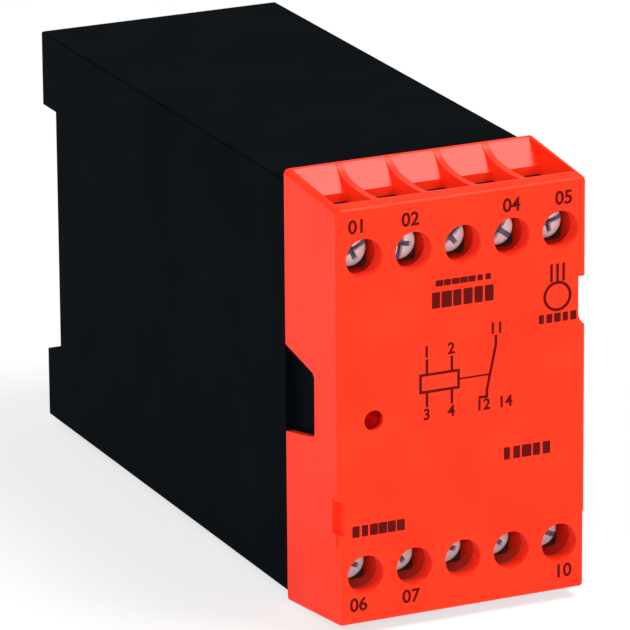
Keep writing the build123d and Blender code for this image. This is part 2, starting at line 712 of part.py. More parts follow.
# Terminal bars, and the blocks that carry them in front of the front board
front_board_back = FRONT_BOARD_DEPTH + BOARD
tail_outer = ROW_RISE + BAR_HEIGHT / 2
tail_middle = tail_outer - BAR_THICKNESS / 2
bar_end = front_board_back + LEAD_STUB
for row, row_name in ((UPPER, "upper"), (LOWER, "lower")):
    with BuildPart() as terminal_bars:
        for x in HOLE_XS:
            with BuildSketch(across(block_front, row * ROW_RISE, x)):
                Rectangle(BAR_WIDTH, BAR_HEIGHT)
                Circle(SHANK_D / 2 + RUNNING_GAP, mode=Mode.SUBTRACT)
            extrude(amount=BAR_THICKNESS)
            with BuildSketch(across(FRONT_BOARD_DEPTH, row * tail_middle, x)):
                Rectangle(BAR_TAIL_WIDTH, BAR_THICKNESS)
            extrude(amount=FRONT_BOARD_DEPTH - BAR_DEPTH)
            with BuildSketch(across(bar_end, row * tail_middle, x)):
                Rectangle(BAR_PIN, BAR_PIN)
            extrude(amount=bar_end - FRONT_BOARD_DEPTH)
    finish(terminal_bars.part, f"{row_name}_terminal_bars")

    with BuildPart() as terminal_block:
        block_half = INNER_SIDE - 2 * FIT_GAP
        block_rise = row * (ROW_RISE + (BLOCK_RISE - BLOCK_DROP) / 2)
        with BuildSketch(across(FRONT_BOARD_DEPTH, block_rise)):
            Rectangle(2 * block_half, BLOCK_RISE + BLOCK_DROP)
        extrude(amount=FRONT_BOARD_DEPTH - block_front)
        with BuildSketch(across(FRONT_BOARD_DEPTH, row * ROW_RISE)):
            with Locations(*[(x, 0) for x in HOLE_XS]):
                Circle(BLOCK_BORE_D / 2)
        extrude(amount=FRONT_BOARD_DEPTH - block_front, mode=Mode.SUBTRACT)
        with BuildSketch(across(FRONT_BOARD_DEPTH, row * tail_middle)):
            with Locations(*[(x, 0) for x in HOLE_XS]):
                Rectangle(BAR_TAIL_WIDTH + 2 * FIT_GAP, BAR_THICKNESS + 2 * FIT_GAP)
        extrude(amount=FRONT_BOARD_DEPTH - block_front, mode=Mode.SUBTRACT)
    finish(terminal_block.part, f"{row_name}_terminal_block")

# Indicator lamp on its spacer
flange_front = LAMP_SETBACK + LAMP_LENGTH
flange_end = flange_front + LAMP_FLANGE
lamp_leads = [(LAMP_X, LAMP_RISE + side * LAMP_LEAD_SPACING / 2) for side in (1, -1)]
with BuildPart() as lamp:
    with BuildSketch(Plane(origin=(LAMP_X, FRONT, MID + LAMP_RISE), x_dir=(0, 1, 0), z_dir=(1, 0, 0))):
        with BuildLine():
            dome_end = LAMP_SETBACK + LAMP_DOME
            TangentArc((LAMP_SETBACK, 0), (dome_end, LAMP_D / 2), tangent=(0, 1))
            Polyline(
                (dome_end, LAMP_D / 2),
                (flange_front, LAMP_D / 2),
                (flange_front, LAMP_FLANGE_D / 2),
                (flange_end, LAMP_FLANGE_D / 2),
                (flange_end, 0),
                (LAMP_SETBACK, 0),
            )
        make_face()
    revolve(axis=Axis((LAMP_X, FRONT, MID + LAMP_RISE), (0, 1, 0)))
    with BuildSketch(across(bar_end)):
        with Locations(*lamp_leads):
            Rectangle(LAMP_LEAD, LAMP_LEAD)
    extrude(amount=bar_end - flange_end)
finish(lamp.part, "lamp")

with BuildPart() as lamp_spacer:
    with BuildSketch(across(FRONT_BOARD_DEPTH, LAMP_RISE, LAMP_X)):
        Circle(SPACER_D / 2)
        Circle(SPACER_BORE_D / 2, mode=Mode.SUBTRACT)
    extrude(amount=FRONT_BOARD_DEPTH - flange_end)
finish(lamp_spacer.part, "lamp_spacer")

# Angled pins that join the side boards to the front board
header_rises = [(i - (HEADER_PINS - 1) / 2) * HEADER_PITCH for i in range(HEADER_PINS)]
header_x = SIDE_BOARD_X - HEADER_STANDOFF
header_depth = front_board_back + HEADER_SETBACK
for side, board_name in ((-1, "main"), (1, "control")):
    with BuildPart() as board_pins:
        for rise in header_rises:
            with BuildSketch(across(header_depth + PIN / 2, rise, side * header_x)):
                Rectangle(PIN, PIN)
            extrude(amount=header_depth + PIN / 2 - FRONT_BOARD_DEPTH + LEAD_STUB / 2)
            with BuildSketch(Plane.YZ.offset(side * (header_x - PIN / 2))):
                with Locations((FRONT + header_depth, MID + rise)):
                    Rectangle(PIN, PIN)
            extrude(amount=side * (HEADER_STANDOFF + BOARD + PIN / 2 + LEAD_STUB / 2))
    finish(board_pins.part, f"{board_name}_board_pins")

# Front board
bar_pins = [(x, row * tail_middle) for row in (UPPER, LOWER) for x in HOLE_XS]
header_pins = [(side * header_x, rise) for side in (-1, 1) for rise in header_rises]
with BuildPart() as front_board:
    with BuildSketch(across(front_board_back)):
        Rectangle(2 * (INNER_SIDE - 2 * FIT_GAP), 2 * (INNER_RISE - 2 * FIT_GAP))
        with Locations(*bar_pins, *header_pins):
            Rectangle(LEAD_HOLE, LEAD_HOLE, mode=Mode.SUBTRACT)
        with Locations(*lamp_leads):
            Rectangle(LAMP_LEAD + 2 * FIT_GAP, LAMP_LEAD + 2 * FIT_GAP, mode=Mode.SUBTRACT)
    extrude(amount=BOARD)
finish(front_board.part, "front_board")

# Transformer: the core's middle leg stands out from the main board
main_face = -SIDE_BOARD_X
board_back = main_face - BOARD
core_foot = main_face + CORE_LIFT
core_top = core_foot + CORE_STAND
core_depth = cavity_end - CORE_BACK_GAP - CORE_LENGTH / 2
window = (CORE_LENGTH - 4 * CORE_LEG) / 2
with BuildPart() as transformer_core:
    with BuildSketch(plan()):
        with Locations((core_foot, core_depth)):
            Rectangle(CORE_STAND, CORE_LENGTH, align=(Align.MIN, Align.CENTER))
        window_depths = [core_depth + s * (CORE_LEG + window / 2) for s in (1, -1)]
        with Locations(*[(core_foot + CORE_STAND / 2, depth) for depth in window_depths]):
            Rectangle(CORE_STAND - 2 * CORE_LEG, window, mode=Mode.SUBTRACT)
    extrude(amount=CORE_STACK / 2, both=True)
finish(transformer_core.part, "transformer_core")

spool_start = core_foot + CORE_LEG + FIT_GAP
spool_end = core_top - CORE_LEG - FIT_GAP
tube_half_depth = CORE_LEG + FIT_GAP + BOBBIN_WALL
tube_half_rise = CORE_STACK / 2 + FIT_GAP + BOBBIN_WALL
flange_half_depth = CORE_LEG + window - FIT_GAP
foot_inner = CORE_STACK / 2 + 2 * FIT_GAP
with BuildPart() as transformer_bobbin:
    for flange_x in (spool_start, spool_end - BOBBIN_FLANGE):
        with BuildSketch(Plane.YZ.offset(flange_x)):
            with Locations((FRONT + core_depth, MID)):
                Rectangle(2 * flange_half_depth, 2 * BOBBIN_HALF_HEIGHT)
        extrude(amount=BOBBIN_FLANGE)
    with BuildSketch(Plane.YZ.offset(spool_start)):
        with Locations((FRONT + core_depth, MID)):
            Rectangle(2 * tube_half_depth, 2 * tube_half_rise)
    extrude(amount=spool_end - spool_start)
    with BuildSketch(Plane.YZ.offset(spool_start)):
        with Locations((FRONT + core_depth, MID)):
            Rectangle(2 * (CORE_LEG + FIT_GAP), CORE_STACK + 2 * FIT_GAP)
    extrude(amount=spool_end - spool_start, mode=Mode.SUBTRACT)
    # feet above and below the core, down to the board
    for row in (UPPER, LOWER):
        with BuildSketch(Plane.YZ.offset(main_face)):
            with Locations((FRONT + core_depth, MID + row * (foot_inner + BOBBIN_FOOT / 2))):
                Rectangle(2 * flange_half_depth, BOBBIN_FOOT)
        extrude(amount=spool_start - main_face)
    transformer_leads = [
        (core_depth + i * TRANSFORMER_PIN_PITCH, row * (foot_inner + BOBBIN_FOOT / 2))
        for row in (UPPER, LOWER)
        for i in (-1, 0, 1)
    ]
    with BuildSketch(Plane.YZ.offset(main_face)):
        with Locations(*on_board(transformer_leads)):
            Rectangle(PIN + FIT_GAP, PIN + FIT_GAP)
    extrude(amount=spool_start - main_face - CORE_LIFT, mode=Mode.SUBTRACT)
finish(transformer_bobbin.part, "transformer_bobbin")

with BuildPart() as transformer_pins:
    with BuildSketch(Plane.YZ.offset(board_back - LEAD_STUB)):
        with Locations(*on_board(transformer_leads)):
            Rectangle(PIN, PIN)
    extrude(amount=spool_start - CORE_LIFT - FIT_GAP - board_back + LEAD_STUB)
finish(transformer_pins.part, "transformer_pins")

with BuildPart() as transformer_winding:
    with BuildSketch(Plane.YZ.offset(spool_start + BOBBIN_FLANGE)):
        with Locations((FRONT + core_depth, MID)):
            winding_size = (2 * (flange_half_depth - WINDING_INSET), 2 * (BOBBIN_HALF_HEIGHT - WINDING_INSET))
            RectangleRounded(*winding_size, WINDING_CORNER)
            Rectangle(2 * tube_half_depth, 2 * tube_half_rise, mode=Mode.SUBTRACT)
    extrude(amount=spool_end - spool_start - 2 * BOBBIN_FLANGE)
finish(transformer_winding.part, "transformer_winding")

# Relay: first axis along the depth, second out from the main board
relay_depth = front_board_back + RELAY_SETBACK
relay_plane = Plane(
    origin=(main_face, FRONT + relay_depth, MID + RELAY_RISE), x_dir=(0, 1, 0), z_dir=(0, 0, -1)
)
base_top = RELAY_LIFT + RELAY_BASE
yoke_foot = base_top + YOKE
hinge_u, hinge_w = YOKE_START, YOKE_STAND + AIR_GAP
break_face = (
    hinge_w
    + (CONTACT_REACH + CONTACT_D / 2) * sin(radians(ARMATURE_ANGLE))
    + CONTACT_ABOVE * cos(radians(ARMATURE_ANGLE))
    + RUNNING_GAP
)
make_face_w = hinge_w + CONTACT_BELOW - RUNNING_GAP
contact_u = hinge_u + CONTACT_REACH
make_strip_start = contact_u - CONTACT_D / 2 - MAKE_STRIP_GAP
break_strip_end = contact_u + CONTACT_D / 2 + BREAK_STRIP_GAP
relay_length = break_strip_end + RELAY_END_GAP + RELAY_WALL
coil_pins = [(YOKE_START + 2 * YOKE, side * YOKE_WIDTH / 3) for side in (1, -1)]
base_half = RELAY_WIDTH / 2 - RELAY_WALL - FIT_GAP

with BuildPart() as relay_cover:
    with BuildSketch(relay_plane):
        with Locations((0, RELAY_LIFT)):
            Rectangle(relay_length, RELAY_STAND - RELAY_LIFT, align=(Align.MIN, Align.MIN))
    extrude(amount=RELAY_WIDTH / 2, both=True)
    fillet(relay_cover.edges().filter_by(Axis.Z), RELAY_WALL / 2)
    with BuildSketch(relay_plane):
        with Locations((RELAY_WALL, RELAY_LIFT)):
            inside = (relay_length - 2 * RELAY_WALL, RELAY_STAND - RELAY_LIFT - RELAY_WALL)
            Rectangle(*inside, align=(Align.MIN, Align.MIN))
    extrude(amount=RELAY_WIDTH / 2 - RELAY_WALL, both=True, mode=Mode.SUBTRACT)
finish(relay_cover.part, "relay_cover")

make_strip_u = make_strip_start + STRIP / 2
break_strip_u = break_strip_end - STRIP / 2
with BuildPart() as relay_base:
    with BuildSketch(relay_plane):
        with Locations((RELAY_WALL + FIT_GAP, RELAY_LIFT)):
            base_length = relay_length - 2 * RELAY_WALL - 2 * FIT_GAP
            Rectangle(base_length, RELAY_BASE, align=(Align.MIN, Align.MIN))
    extrude(amount=base_half, both=True)
    with BuildSketch(relay_plane):
        with Locations(*[(u, RELAY_LIFT + RELAY_BASE / 2) for u in (make_strip_u, break_strip_u)]):
            Rectangle(STRIP + FIT_GAP, RELAY_BASE + CUT_PAST)
    extrude(amount=(STRIP_WIDTH + FIT_GAP) / 2, both=True, mode=Mode.SUBTRACT)
    for u, offset in coil_pins:
        with BuildSketch(relay_plane.offset(offset)):
            with Locations((u, RELAY_LIFT + RELAY_BASE / 2)):
                Rectangle(PIN + FIT_GAP, RELAY_BASE + CUT_PAST)
        extrude(amount=(PIN + FIT_GAP) / 2, both=True, mode=Mode.SUBTRACT)
finish(relay_base.part, "relay_base")

with BuildPart() as relay_yoke:
    with BuildSketch(relay_plane):
        with BuildLine():
            Polyline(
                (YOKE_START, base_top),
                (YOKE_START + YOKE_LENGTH, base_top),
                (YOKE_START + YOKE_LENGTH, yoke_foot),
                (YOKE_START + YOKE, yoke_foot),
                (YOKE_START + YOKE, YOKE_STAND),
                (YOKE_START, YOKE_STAND),
                close=True,
            )
        make_face()
    extrude(amount=YOKE_WIDTH / 2, both=True)
    for u, offset in coil_pins:
        with BuildSketch(relay_plane.offset(offset)):
            with Locations((u, base_top)):
                Rectangle(PIN + 2 * YOKE_PIN_GAP, 2 * (YOKE + CUT_PAST))
        extrude(amount=PIN / 2 + YOKE_PIN_GAP, both=True, mode=Mode.SUBTRACT)
finish(relay_yoke.part, "relay_yoke")

coil_plane = Plane.YZ.offset(main_face)
coil_point = (FRONT + relay_depth + COIL_CENTRE, MID + RELAY_RISE)
with BuildPart() as relay_core:
    with BuildSketch(coil_plane.offset(yoke_foot)):
        with Locations(coil_point):
            Circle(CORE_D / 2)
    extrude(amount=YOKE_STAND - yoke_foot)
    with BuildSketch(coil_plane.offset(YOKE_STAND - POLE)):
        with Locations(coil_point):
            Circle(POLE_D / 2)
    extrude(amount=POLE)
finish(relay_core.part, "relay_core")

coil_start = yoke_foot + FIT_GAP
coil_end = YOKE_STAND - POLE - FIT_GAP
with BuildPart() as relay_bobbin:
    for start in (coil_start, coil_end - BOBBIN_WALL):
        with BuildSketch(coil_plane.offset(start)):
            with Locations(coil_point):
                RectangleRounded(COIL_FLANGE, COIL_FLANGE, COIL_FLANGE_CORNER)
        extrude(amount=BOBBIN_WALL)
    with BuildSketch(coil_plane.offset(coil_start)):
        with Locations(coil_point):
            Circle(CORE_D / 2 + FIT_GAP + BOBBIN_WALL)
    extrude(amount=coil_end - coil_start)
    with BuildSketch(coil_plane.offset(coil_start)):
        with Locations(coil_point):
            Circle(CORE_D / 2 + FIT_GAP)
    extrude(amount=coil_end - coil_start, mode=Mode.SUBTRACT)
finish(relay_bobbin.part, "relay_bobbin")

with BuildPart() as relay_winding:
    with BuildSketch(coil_plane.offset(coil_start + BOBBIN_WALL)):
        with Locations(coil_point):
            Circle(COIL_D / 2)
            Circle(CORE_D / 2 + FIT_GAP + BOBBIN_WALL, mode=Mode.SUBTRACT)
    extrude(amount=coil_end - coil_start - 2 * BOBBIN_WALL)
finish(relay_winding.part, "relay_winding")

# The armature rests open, tipped about the yoke's outer edge
tip = radians(ARMATURE_ANGLE)
hinge_point = (main_face + hinge_w, FRONT + relay_depth + hinge_u, MID + RELAY_RISE)
armature_plane = Plane(origin=hinge_point, x_dir=(sin(tip), cos(tip), 0), z_dir=(0, 0, -1))
with BuildPart() as relay_armature:
    with BuildSketch(armature_plane):
        with Locations((-ARMATURE_HEEL, 0)):
            Rectangle(ARMATURE_LENGTH + ARMATURE_HEEL, ARMATURE, align=(Align.MIN, Align.MIN))
    extrude(amount=ARMATURE_WIDTH / 2, both=True)
finish(relay_armature.part, "relay_armature")

with BuildPart() as relay_contact_blade:
    with BuildSketch(armature_plane):
        with Locations((BLADE_START, ARMATURE)):
            blade_end = CONTACT_REACH + CONTACT_D / 2 + BLADE_TIP
            Rectangle(blade_end - BLADE_START, BLADE, align=(Align.MIN, Align.MIN))
    extrude(amount=BLADE_WIDTH / 2, both=True)
    contact_plane = Plane(
        origin=armature_plane.from_local_coords(Vector(CONTACT_REACH, CONTACT_BELOW, 0)),
        x_dir=(0, 0, 1),
        z_dir=armature_plane.y_dir,
    )
    with BuildSketch(contact_plane):
        Circle(CONTACT_D / 2)
    extrude(amount=CONTACT_ABOVE - CONTACT_BELOW)
finish(relay_contact_blade.part, "relay_contact_blade")

strip_foot = -BOARD - LEAD_STUB
with BuildPart() as relay_contacts:
    with BuildSketch(relay_plane):
        with BuildLine():
            Polyline(
                (make_strip_start, strip_foot),
                (make_strip_start + STRIP, strip_foot),
                (make_strip_start + STRIP, make_face_w - 2 * STRIP),
                (contact_u + CONTACT_D / 2, make_face_w - 2 * STRIP),
                (contact_u + CONTACT_D / 2, make_face_w - STRIP),
                (make_strip_start, make_face_w - STRIP),
                close=True,
            )
        make_face()
        with BuildLine():
            Polyline(
                (break_strip_end, strip_foot),
                (break_strip_end, break_face + 2 * STRIP),
                (contact_u - CONTACT_D / 2, break_face + 2 * STRIP),
                (contact_u - CONTACT_D / 2, break_face + STRIP),
                (break_strip_end - STRIP, break_face + STRIP),
                (break_strip_end - STRIP, strip_foot),
                close=True,
            )
        make_face()
    extrude(amount=STRIP_WIDTH / 2, both=True)
    for face_w in (make_face_w - STRIP, break_face):
        with BuildSketch(coil_plane.offset(face_w)):
            with Locations((FRONT + relay_depth + contact_u, MID + RELAY_RISE)):
                Circle(CONTACT_D / 2)
        extrude(amount=STRIP)
finish(relay_contacts.part, "relay_contacts")

coil_pin_points = [(relay_depth + u, RELAY_RISE - offset) for u, offset in coil_pins]
with BuildPart() as relay_coil_pins:
    with BuildSketch(coil_plane.offset(strip_foot)):
        with Locations(*on_board(coil_pin_points)):
            Rectangle(PIN, PIN)
    extrude(amount=coil_start - strip_foot)
finish(relay_coil_pins.part, "relay_coil_pins")
relay_strip_points = [(relay_depth + u, RELAY_RISE) for u in (make_strip_u, break_strip_u)]


# Round and boxed components of the main board
smoothing_at = (front_board_back + SMOOTHING_AT[0], SMOOTHING_AT[1])
smoothing_leads = lead_pair(*smoothing_at, SMOOTHING_LEADS)
with BuildPart() as smoothing_capacitor:
    with BuildSketch(coil_plane):
        with Locations(*on_board([smoothing_at])):
            Circle(SMOOTHING_D / 2)
    extrude(amount=SMOOTHING_STAND)
    fillet(smoothing_capacitor.edges(), SMOOTHING_ROUNDING)
    with BuildSketch(coil_plane.offset(strip_foot)):
        with Locations(*on_board(smoothing_leads)):
            Rectangle(LEAD, LEAD)
    extrude(amount=-strip_foot + LEAD)
finish(smoothing_capacitor.part, "smoothing_capacitor")

film_at = (front_board_back + FILM_AT[0], FILM_AT[1])
film_leads = lead_pair(*film_at, FILM_LEADS)
with BuildPart() as film_capacitor:
    with BuildSketch(coil_plane):
        with Locations(*on_board([film_at])):
            RectangleRounded(FILM_SIZE[0], FILM_SIZE[1], FILM_CORNER)
    extrude(amount=FILM_SIZE[2])
    with BuildSketch(coil_plane.offset(strip_foot)):
        with Locations(*on_board(film_leads)):
            Rectangle(LEAD, LEAD)
    extrude(amount=-strip_foot + LEAD)
finish(film_capacitor.part, "film_capacitor")

varistor_at = (front_board_back + VARISTOR_AT[0], VARISTOR_AT[1])
varistor_leads = lead_pair(*varistor_at, VARISTOR_LEADS)
with BuildPart() as varistor:
    with BuildSketch(plan(varistor_at[1])):
        with Locations((main_face + VARISTOR_LIFT + VARISTOR_D / 2, varistor_at[0])):
            Circle(VARISTOR_D / 2)
    extrude(amount=VARISTOR_THICKNESS / 2, both=True)
    with BuildSketch(coil_plane.offset(strip_foot)):
        with Locations(*on_board(varistor_leads)):
            Rectangle(LEAD, LEAD)
    extrude(amount=-strip_foot + VARISTOR_D / 2)
finish(varistor.part, "varistor")

# Diodes and resistors: each a round body lying on its board between two bent leads
board_rise = INNER_RISE - 2 * FIT_GAP
control_face = SIDE_BOARD_X
diode_depths = [front_board_back + DIODE_START + i * DIODE_PITCH for i in range(DIODE_COUNT)]
diodes_at = [(depth, DIODE_EDGE - board_rise) for depth in diode_depths]
resistor_depths = [front_board_back + RESISTOR_START + i * RESISTOR_PITCH for i in range(RESISTOR_COLUMNS)]
resistors_at = [(depth, rise) for depth in resistor_depths for rise in RESISTOR_RISES]
AXIAL_KINDS = (
    ("diodes", diodes_at, DIODE_D, DIODE_LENGTH, main_face, 1),
    ("resistors", resistors_at, RESISTOR_D, RESISTOR_LENGTH, control_face, -1),
)
for axial_name, places, diameter, length, face, out in AXIAL_KINDS:
    axis_x = face + out * (AXIAL_LIFT + diameter / 2)
    lead_drop = AXIAL_LIFT + diameter / 2 + LEAD / 2 + BOARD + LEAD_STUB
    with BuildPart() as axial:
        for depth, rise in places:
            with BuildSketch(across(depth + length / 2, rise, axis_x)):
                Circle(diameter / 2)
            extrude(amount=length)
            with BuildSketch(across(depth + (AXIAL_SPAN + LEAD) / 2, rise, axis_x)):
                Rectangle(LEAD, LEAD)
            extrude(amount=AXIAL_SPAN + LEAD)
            with BuildSketch(Plane.YZ.offset(axis_x + out * LEAD / 2)):
                with Locations(*on_board(lead_pair(depth, rise, AXIAL_SPAN))):
                    Rectangle(LEAD, LEAD)
            extrude(amount=-out * lead_drop)
    finish(axial.part, axial_name)

timing_at = [(front_board_back + TIMING_DEPTH, rise) for rise in TIMING_RISES]
timing_leads = [lead for place in timing_at for lead in lead_pair(*place, TIMING_LEADS)]
with BuildPart() as timing_capacitors:
    with BuildSketch(Plane.YZ.offset(control_face)):
        with Locations(*on_board(timing_at)):
            Circle(TIMING_D / 2)
    extrude(amount=-TIMING_STAND)
    with BuildSketch(Plane.YZ.offset(control_face - LEAD)):
        with Locations(*on_board(timing_leads)):
            Rectangle(LEAD, LEAD)
    extrude(amount=LEAD + BOARD + LEAD_STUB)
finish(timing_capacitors.part, "timing_capacitors")

chip_rows = [(i - (CHIP_LEGS - 1) / 2) * CHIP_LEG_PITCH for i in range(CHIP_LEGS)]
chip_leads = []
for chip_name, (chip_start, chip_rise) in CHIPS.items():
    chip_depth = front_board_back + chip_start
    body_x = control_face - CHIP_LIFT
    leg_x = body_x - CHIP_THICKNESS / 2
    leg_end = control_face + BOARD + LEAD_STUB
    half = CHIP_LEG / 2
    with BuildPart() as chip:
        with BuildSketch(Plane.YZ.offset(body_x)):
            with Locations(*on_board([(chip_depth, chip_rise)])):
                Rectangle(CHIP_WIDTH, CHIP_LENGTH)
        extrude(amount=-CHIP_THICKNESS)
        for row_rise in chip_rows:
            chip_leads += lead_pair(chip_depth, chip_rise + row_rise, CHIP_LEG_SPAN)
            # a pair of legs, out of the body's long sides and down through the board
            with BuildSketch(plan(chip_rise + row_rise)):
                for s in (1, -1):
                    leg_depth = chip_depth + s * CHIP_LEG_SPAN / 2
                    with BuildLine():
                        Polyline(
                            (leg_x - half, chip_depth),
                            (leg_x - half, leg_depth + s * half),
                            (leg_end, leg_depth + s * half),
                            (leg_end, leg_depth - s * half),
                            (leg_x + half, leg_depth - s * half),
                            (leg_x + half, chip_depth),
                            close=True,
                        )
                    make_face()
            extrude(amount=half, both=True)
    finish(chip.part, chip_name)

# Side boards, with a hole for every lead
board_start = front_board_back + LEAD_STUB + 2 * FIT_GAP
main_board_end = cavity_end - BOARD_END_GAP
header_holes = [(header_depth, rise) for rise in header_rises]
main_leads = header_holes + transformer_leads + coil_pin_points + smoothing_leads + film_leads
main_leads += varistor_leads + [lead for place in diodes_at for lead in lead_pair(*place, AXIAL_SPAN)]
with BuildPart() as main_board:
    with BuildSketch(Plane.YZ.offset(board_back)):
        with Locations((FRONT + board_start, MID)):
            Rectangle(main_board_end - board_start, 2 * board_rise, align=(Align.MIN, Align.CENTER))
        with Locations(*on_board(main_leads)):
            Rectangle(LEAD_HOLE, LEAD_HOLE, mode=Mode.SUBTRACT)
        with Locations(*on_board(relay_strip_points)):
            Rectangle(STRIP + 2 * FIT_GAP, STRIP_WIDTH + 2 * FIT_GAP, mode=Mode.SUBTRACT)
    extrude(amount=BOARD)
finish(main_board.part, "main_board")

control_leads = header_holes + timing_leads + chip_leads
control_leads += [lead for place in resistors_at for lead in lead_pair(*place, AXIAL_SPAN)]
with BuildPart() as control_board:
    with BuildSketch(Plane.YZ.offset(control_face)):
        with Locations((FRONT + board_start, MID)):
            Rectangle(CONTROL_BOARD_LENGTH, 2 * board_rise, align=(Align.MIN, Align.CENTER))
        with Locations(*on_board(control_leads)):
            Rectangle(LEAD_HOLE, LEAD_HOLE, mode=Mode.SUBTRACT)
    extrude(amount=BOARD)
finish(control_board.part, "control_board")
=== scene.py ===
import json
import math

import bmesh
import bpy
from mathutils import Matrix, Vector

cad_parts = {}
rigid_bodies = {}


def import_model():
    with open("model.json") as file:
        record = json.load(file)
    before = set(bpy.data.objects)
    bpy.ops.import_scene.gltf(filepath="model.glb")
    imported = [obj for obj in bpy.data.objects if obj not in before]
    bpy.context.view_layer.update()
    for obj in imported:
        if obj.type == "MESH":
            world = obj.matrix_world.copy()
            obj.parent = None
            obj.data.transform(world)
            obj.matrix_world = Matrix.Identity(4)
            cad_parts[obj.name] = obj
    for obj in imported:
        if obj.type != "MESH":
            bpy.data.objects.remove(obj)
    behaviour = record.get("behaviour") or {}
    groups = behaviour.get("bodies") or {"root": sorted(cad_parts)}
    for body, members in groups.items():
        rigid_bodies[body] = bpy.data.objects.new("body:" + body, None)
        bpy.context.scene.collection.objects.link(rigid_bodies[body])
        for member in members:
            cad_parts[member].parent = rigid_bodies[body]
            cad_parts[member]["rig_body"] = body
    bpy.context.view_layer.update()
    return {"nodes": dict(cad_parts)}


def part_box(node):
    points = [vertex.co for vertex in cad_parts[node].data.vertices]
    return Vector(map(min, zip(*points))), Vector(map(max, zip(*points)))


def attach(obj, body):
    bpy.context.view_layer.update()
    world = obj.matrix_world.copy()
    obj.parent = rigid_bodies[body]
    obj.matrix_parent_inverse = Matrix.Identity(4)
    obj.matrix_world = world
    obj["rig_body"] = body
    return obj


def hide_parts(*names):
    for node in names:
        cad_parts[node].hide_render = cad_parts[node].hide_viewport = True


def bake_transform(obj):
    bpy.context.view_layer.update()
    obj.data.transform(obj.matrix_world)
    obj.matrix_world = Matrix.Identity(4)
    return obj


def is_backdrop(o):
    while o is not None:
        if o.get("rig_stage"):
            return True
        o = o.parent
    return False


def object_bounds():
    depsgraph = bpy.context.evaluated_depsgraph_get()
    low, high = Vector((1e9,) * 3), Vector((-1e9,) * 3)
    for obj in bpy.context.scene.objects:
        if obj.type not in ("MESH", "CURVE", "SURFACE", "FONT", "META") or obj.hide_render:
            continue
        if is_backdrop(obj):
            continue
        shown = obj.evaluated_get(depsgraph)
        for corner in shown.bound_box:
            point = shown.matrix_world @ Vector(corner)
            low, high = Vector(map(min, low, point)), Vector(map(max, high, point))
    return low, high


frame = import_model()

# Motor protection relay: black rail housing, orange-red terminal cover, ten terminal screws.
# Metres. Sizes given in millimetres are multiplied by MM.
MM = 0.001
nodes = frame["nodes"]
scene = bpy.context.scene
scene.view_settings.view_transform = "Standard"

cover_low, cover_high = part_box("front_cover")
FRONT = cover_low.y
MID = cover_high.z / 2
UPPER_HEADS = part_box("terminal_screw_01")[0].y
LOWER_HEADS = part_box("terminal_screw_06")[0].y


# Camera, fitted to the photograph's edges
PHOTO_SIZE = 630
FOCAL_PIXELS = 6392.6
SENSOR = 36.0
CAMERA_AZIMUTH = math.radians(-24.743)
CAMERA_ELEVATION = math.radians(17.705)
CAMERA_ROLL = math.radians(-0.462)
CAMERA_DISTANCE = 1.0149
CAMERA_AIM = Vector((-26.16 * MM, FRONT, 55.47 * MM))


def photo_camera():
    data = bpy.data.cameras.new("photo_camera")
    data.sensor_width = SENSOR
    data.lens = FOCAL_PIXELS / PHOTO_SIZE * SENSOR
    data.clip_start, data.clip_end = 0.05, 50.0
    camera = bpy.data.objects.new("photo_camera", data)
    scene.collection.objects.link(camera)
    level = math.cos(CAMERA_ELEVATION)
    right = Vector((math.cos(CAMERA_AZIMUTH), math.sin(CAMERA_AZIMUTH), 0))
    back = Vector((right.y * level, -right.x * level, math.sin(CAMERA_ELEVATION)))
    up = back.cross(right)
    rolled_right = math.cos(CAMERA_ROLL) * right + math.sin(CAMERA_ROLL) * up
    rolled_up = math.cos(CAMERA_ROLL) * up - math.sin(CAMERA_ROLL) * right
    turn = Matrix((rolled_right, rolled_up, back)).transposed()
    camera.matrix_world = Matrix.Translation(CAMERA_AIM + CAMERA_DISTANCE * back) @ turn.to_4x4()
    return camera


scene.camera = photo_camera()


# Node trees written as expressions
class Value:
    """A socket of a node tree. Arithmetic on it adds Math nodes."""

    def __init__(self, graph, socket):
        self.graph, self.socket = graph, socket

    def math(self, operation, *terms):
        return self.graph.node("ShaderNodeMath", {"operation": operation}, dict(enumerate(terms)))

    def __add__(self, other):
        return self.math("ADD", self, other)

    def __sub__(self, other):
        return self.math("SUBTRACT", self, other)

    def __rsub__(self, other):
        return self.math("SUBTRACT", other, self)

    def __mul__(self, other):
        return self.math("MULTIPLY", self, other)

    def __truediv__(self, other):
        return self.math("DIVIDE", self, other)

    def __gt__(self, other):
        return self.math("GREATER_THAN", self, other)

    def __lt__(self, other):
        return self.math("LESS_THAN", self, other)

    def __or__(self, other):
        return self.math("MAXIMUM", self, other)

    def __abs__(self):
        return self.math("ABSOLUTE", self)

    def out(self, name):
        """Another output of the same node."""
        return Value(self.graph, self.socket.node.outputs[name])

    __radd__ = __add__
    __rmul__ = __mul__

    def band(self, low, high):
        """0 at low, 1 at high and smooth between."""
        limits = {"Value": self, "From Min": low, "From Max": high}
        return self.graph.node("ShaderNodeMapRange", {"interpolation_type": "SMOOTHSTEP"}, limits)

    def past(self, low, high):
        """The same with low and high in millimetres."""
        return self.band(low * MM, high * MM)


class Graph:
    """A node tree whose nodes are added by one method."""

    def __init__(self, tree):
        self.tree = tree

    def node(self, kind, settings=None, values=None, out=0):
        """Adds a node: its settings first, then the values or links of its sockets."""
        made = self.tree.nodes.new(kind)
        for name, setting in (settings or {}).items():
            if name == "curve":
                set_curve(made.mapping, setting)
            else:
                setattr(made, name, setting)
        for name, value in (values or {}).items():
            for term in value if isinstance(value, list) else [value]:
                if isinstance(term, Value):
                    self.tree.links.new(term.socket, made.inputs[name])
                else:
                    made.inputs[name].default_value = term
        return Value(self, made.outputs[out])


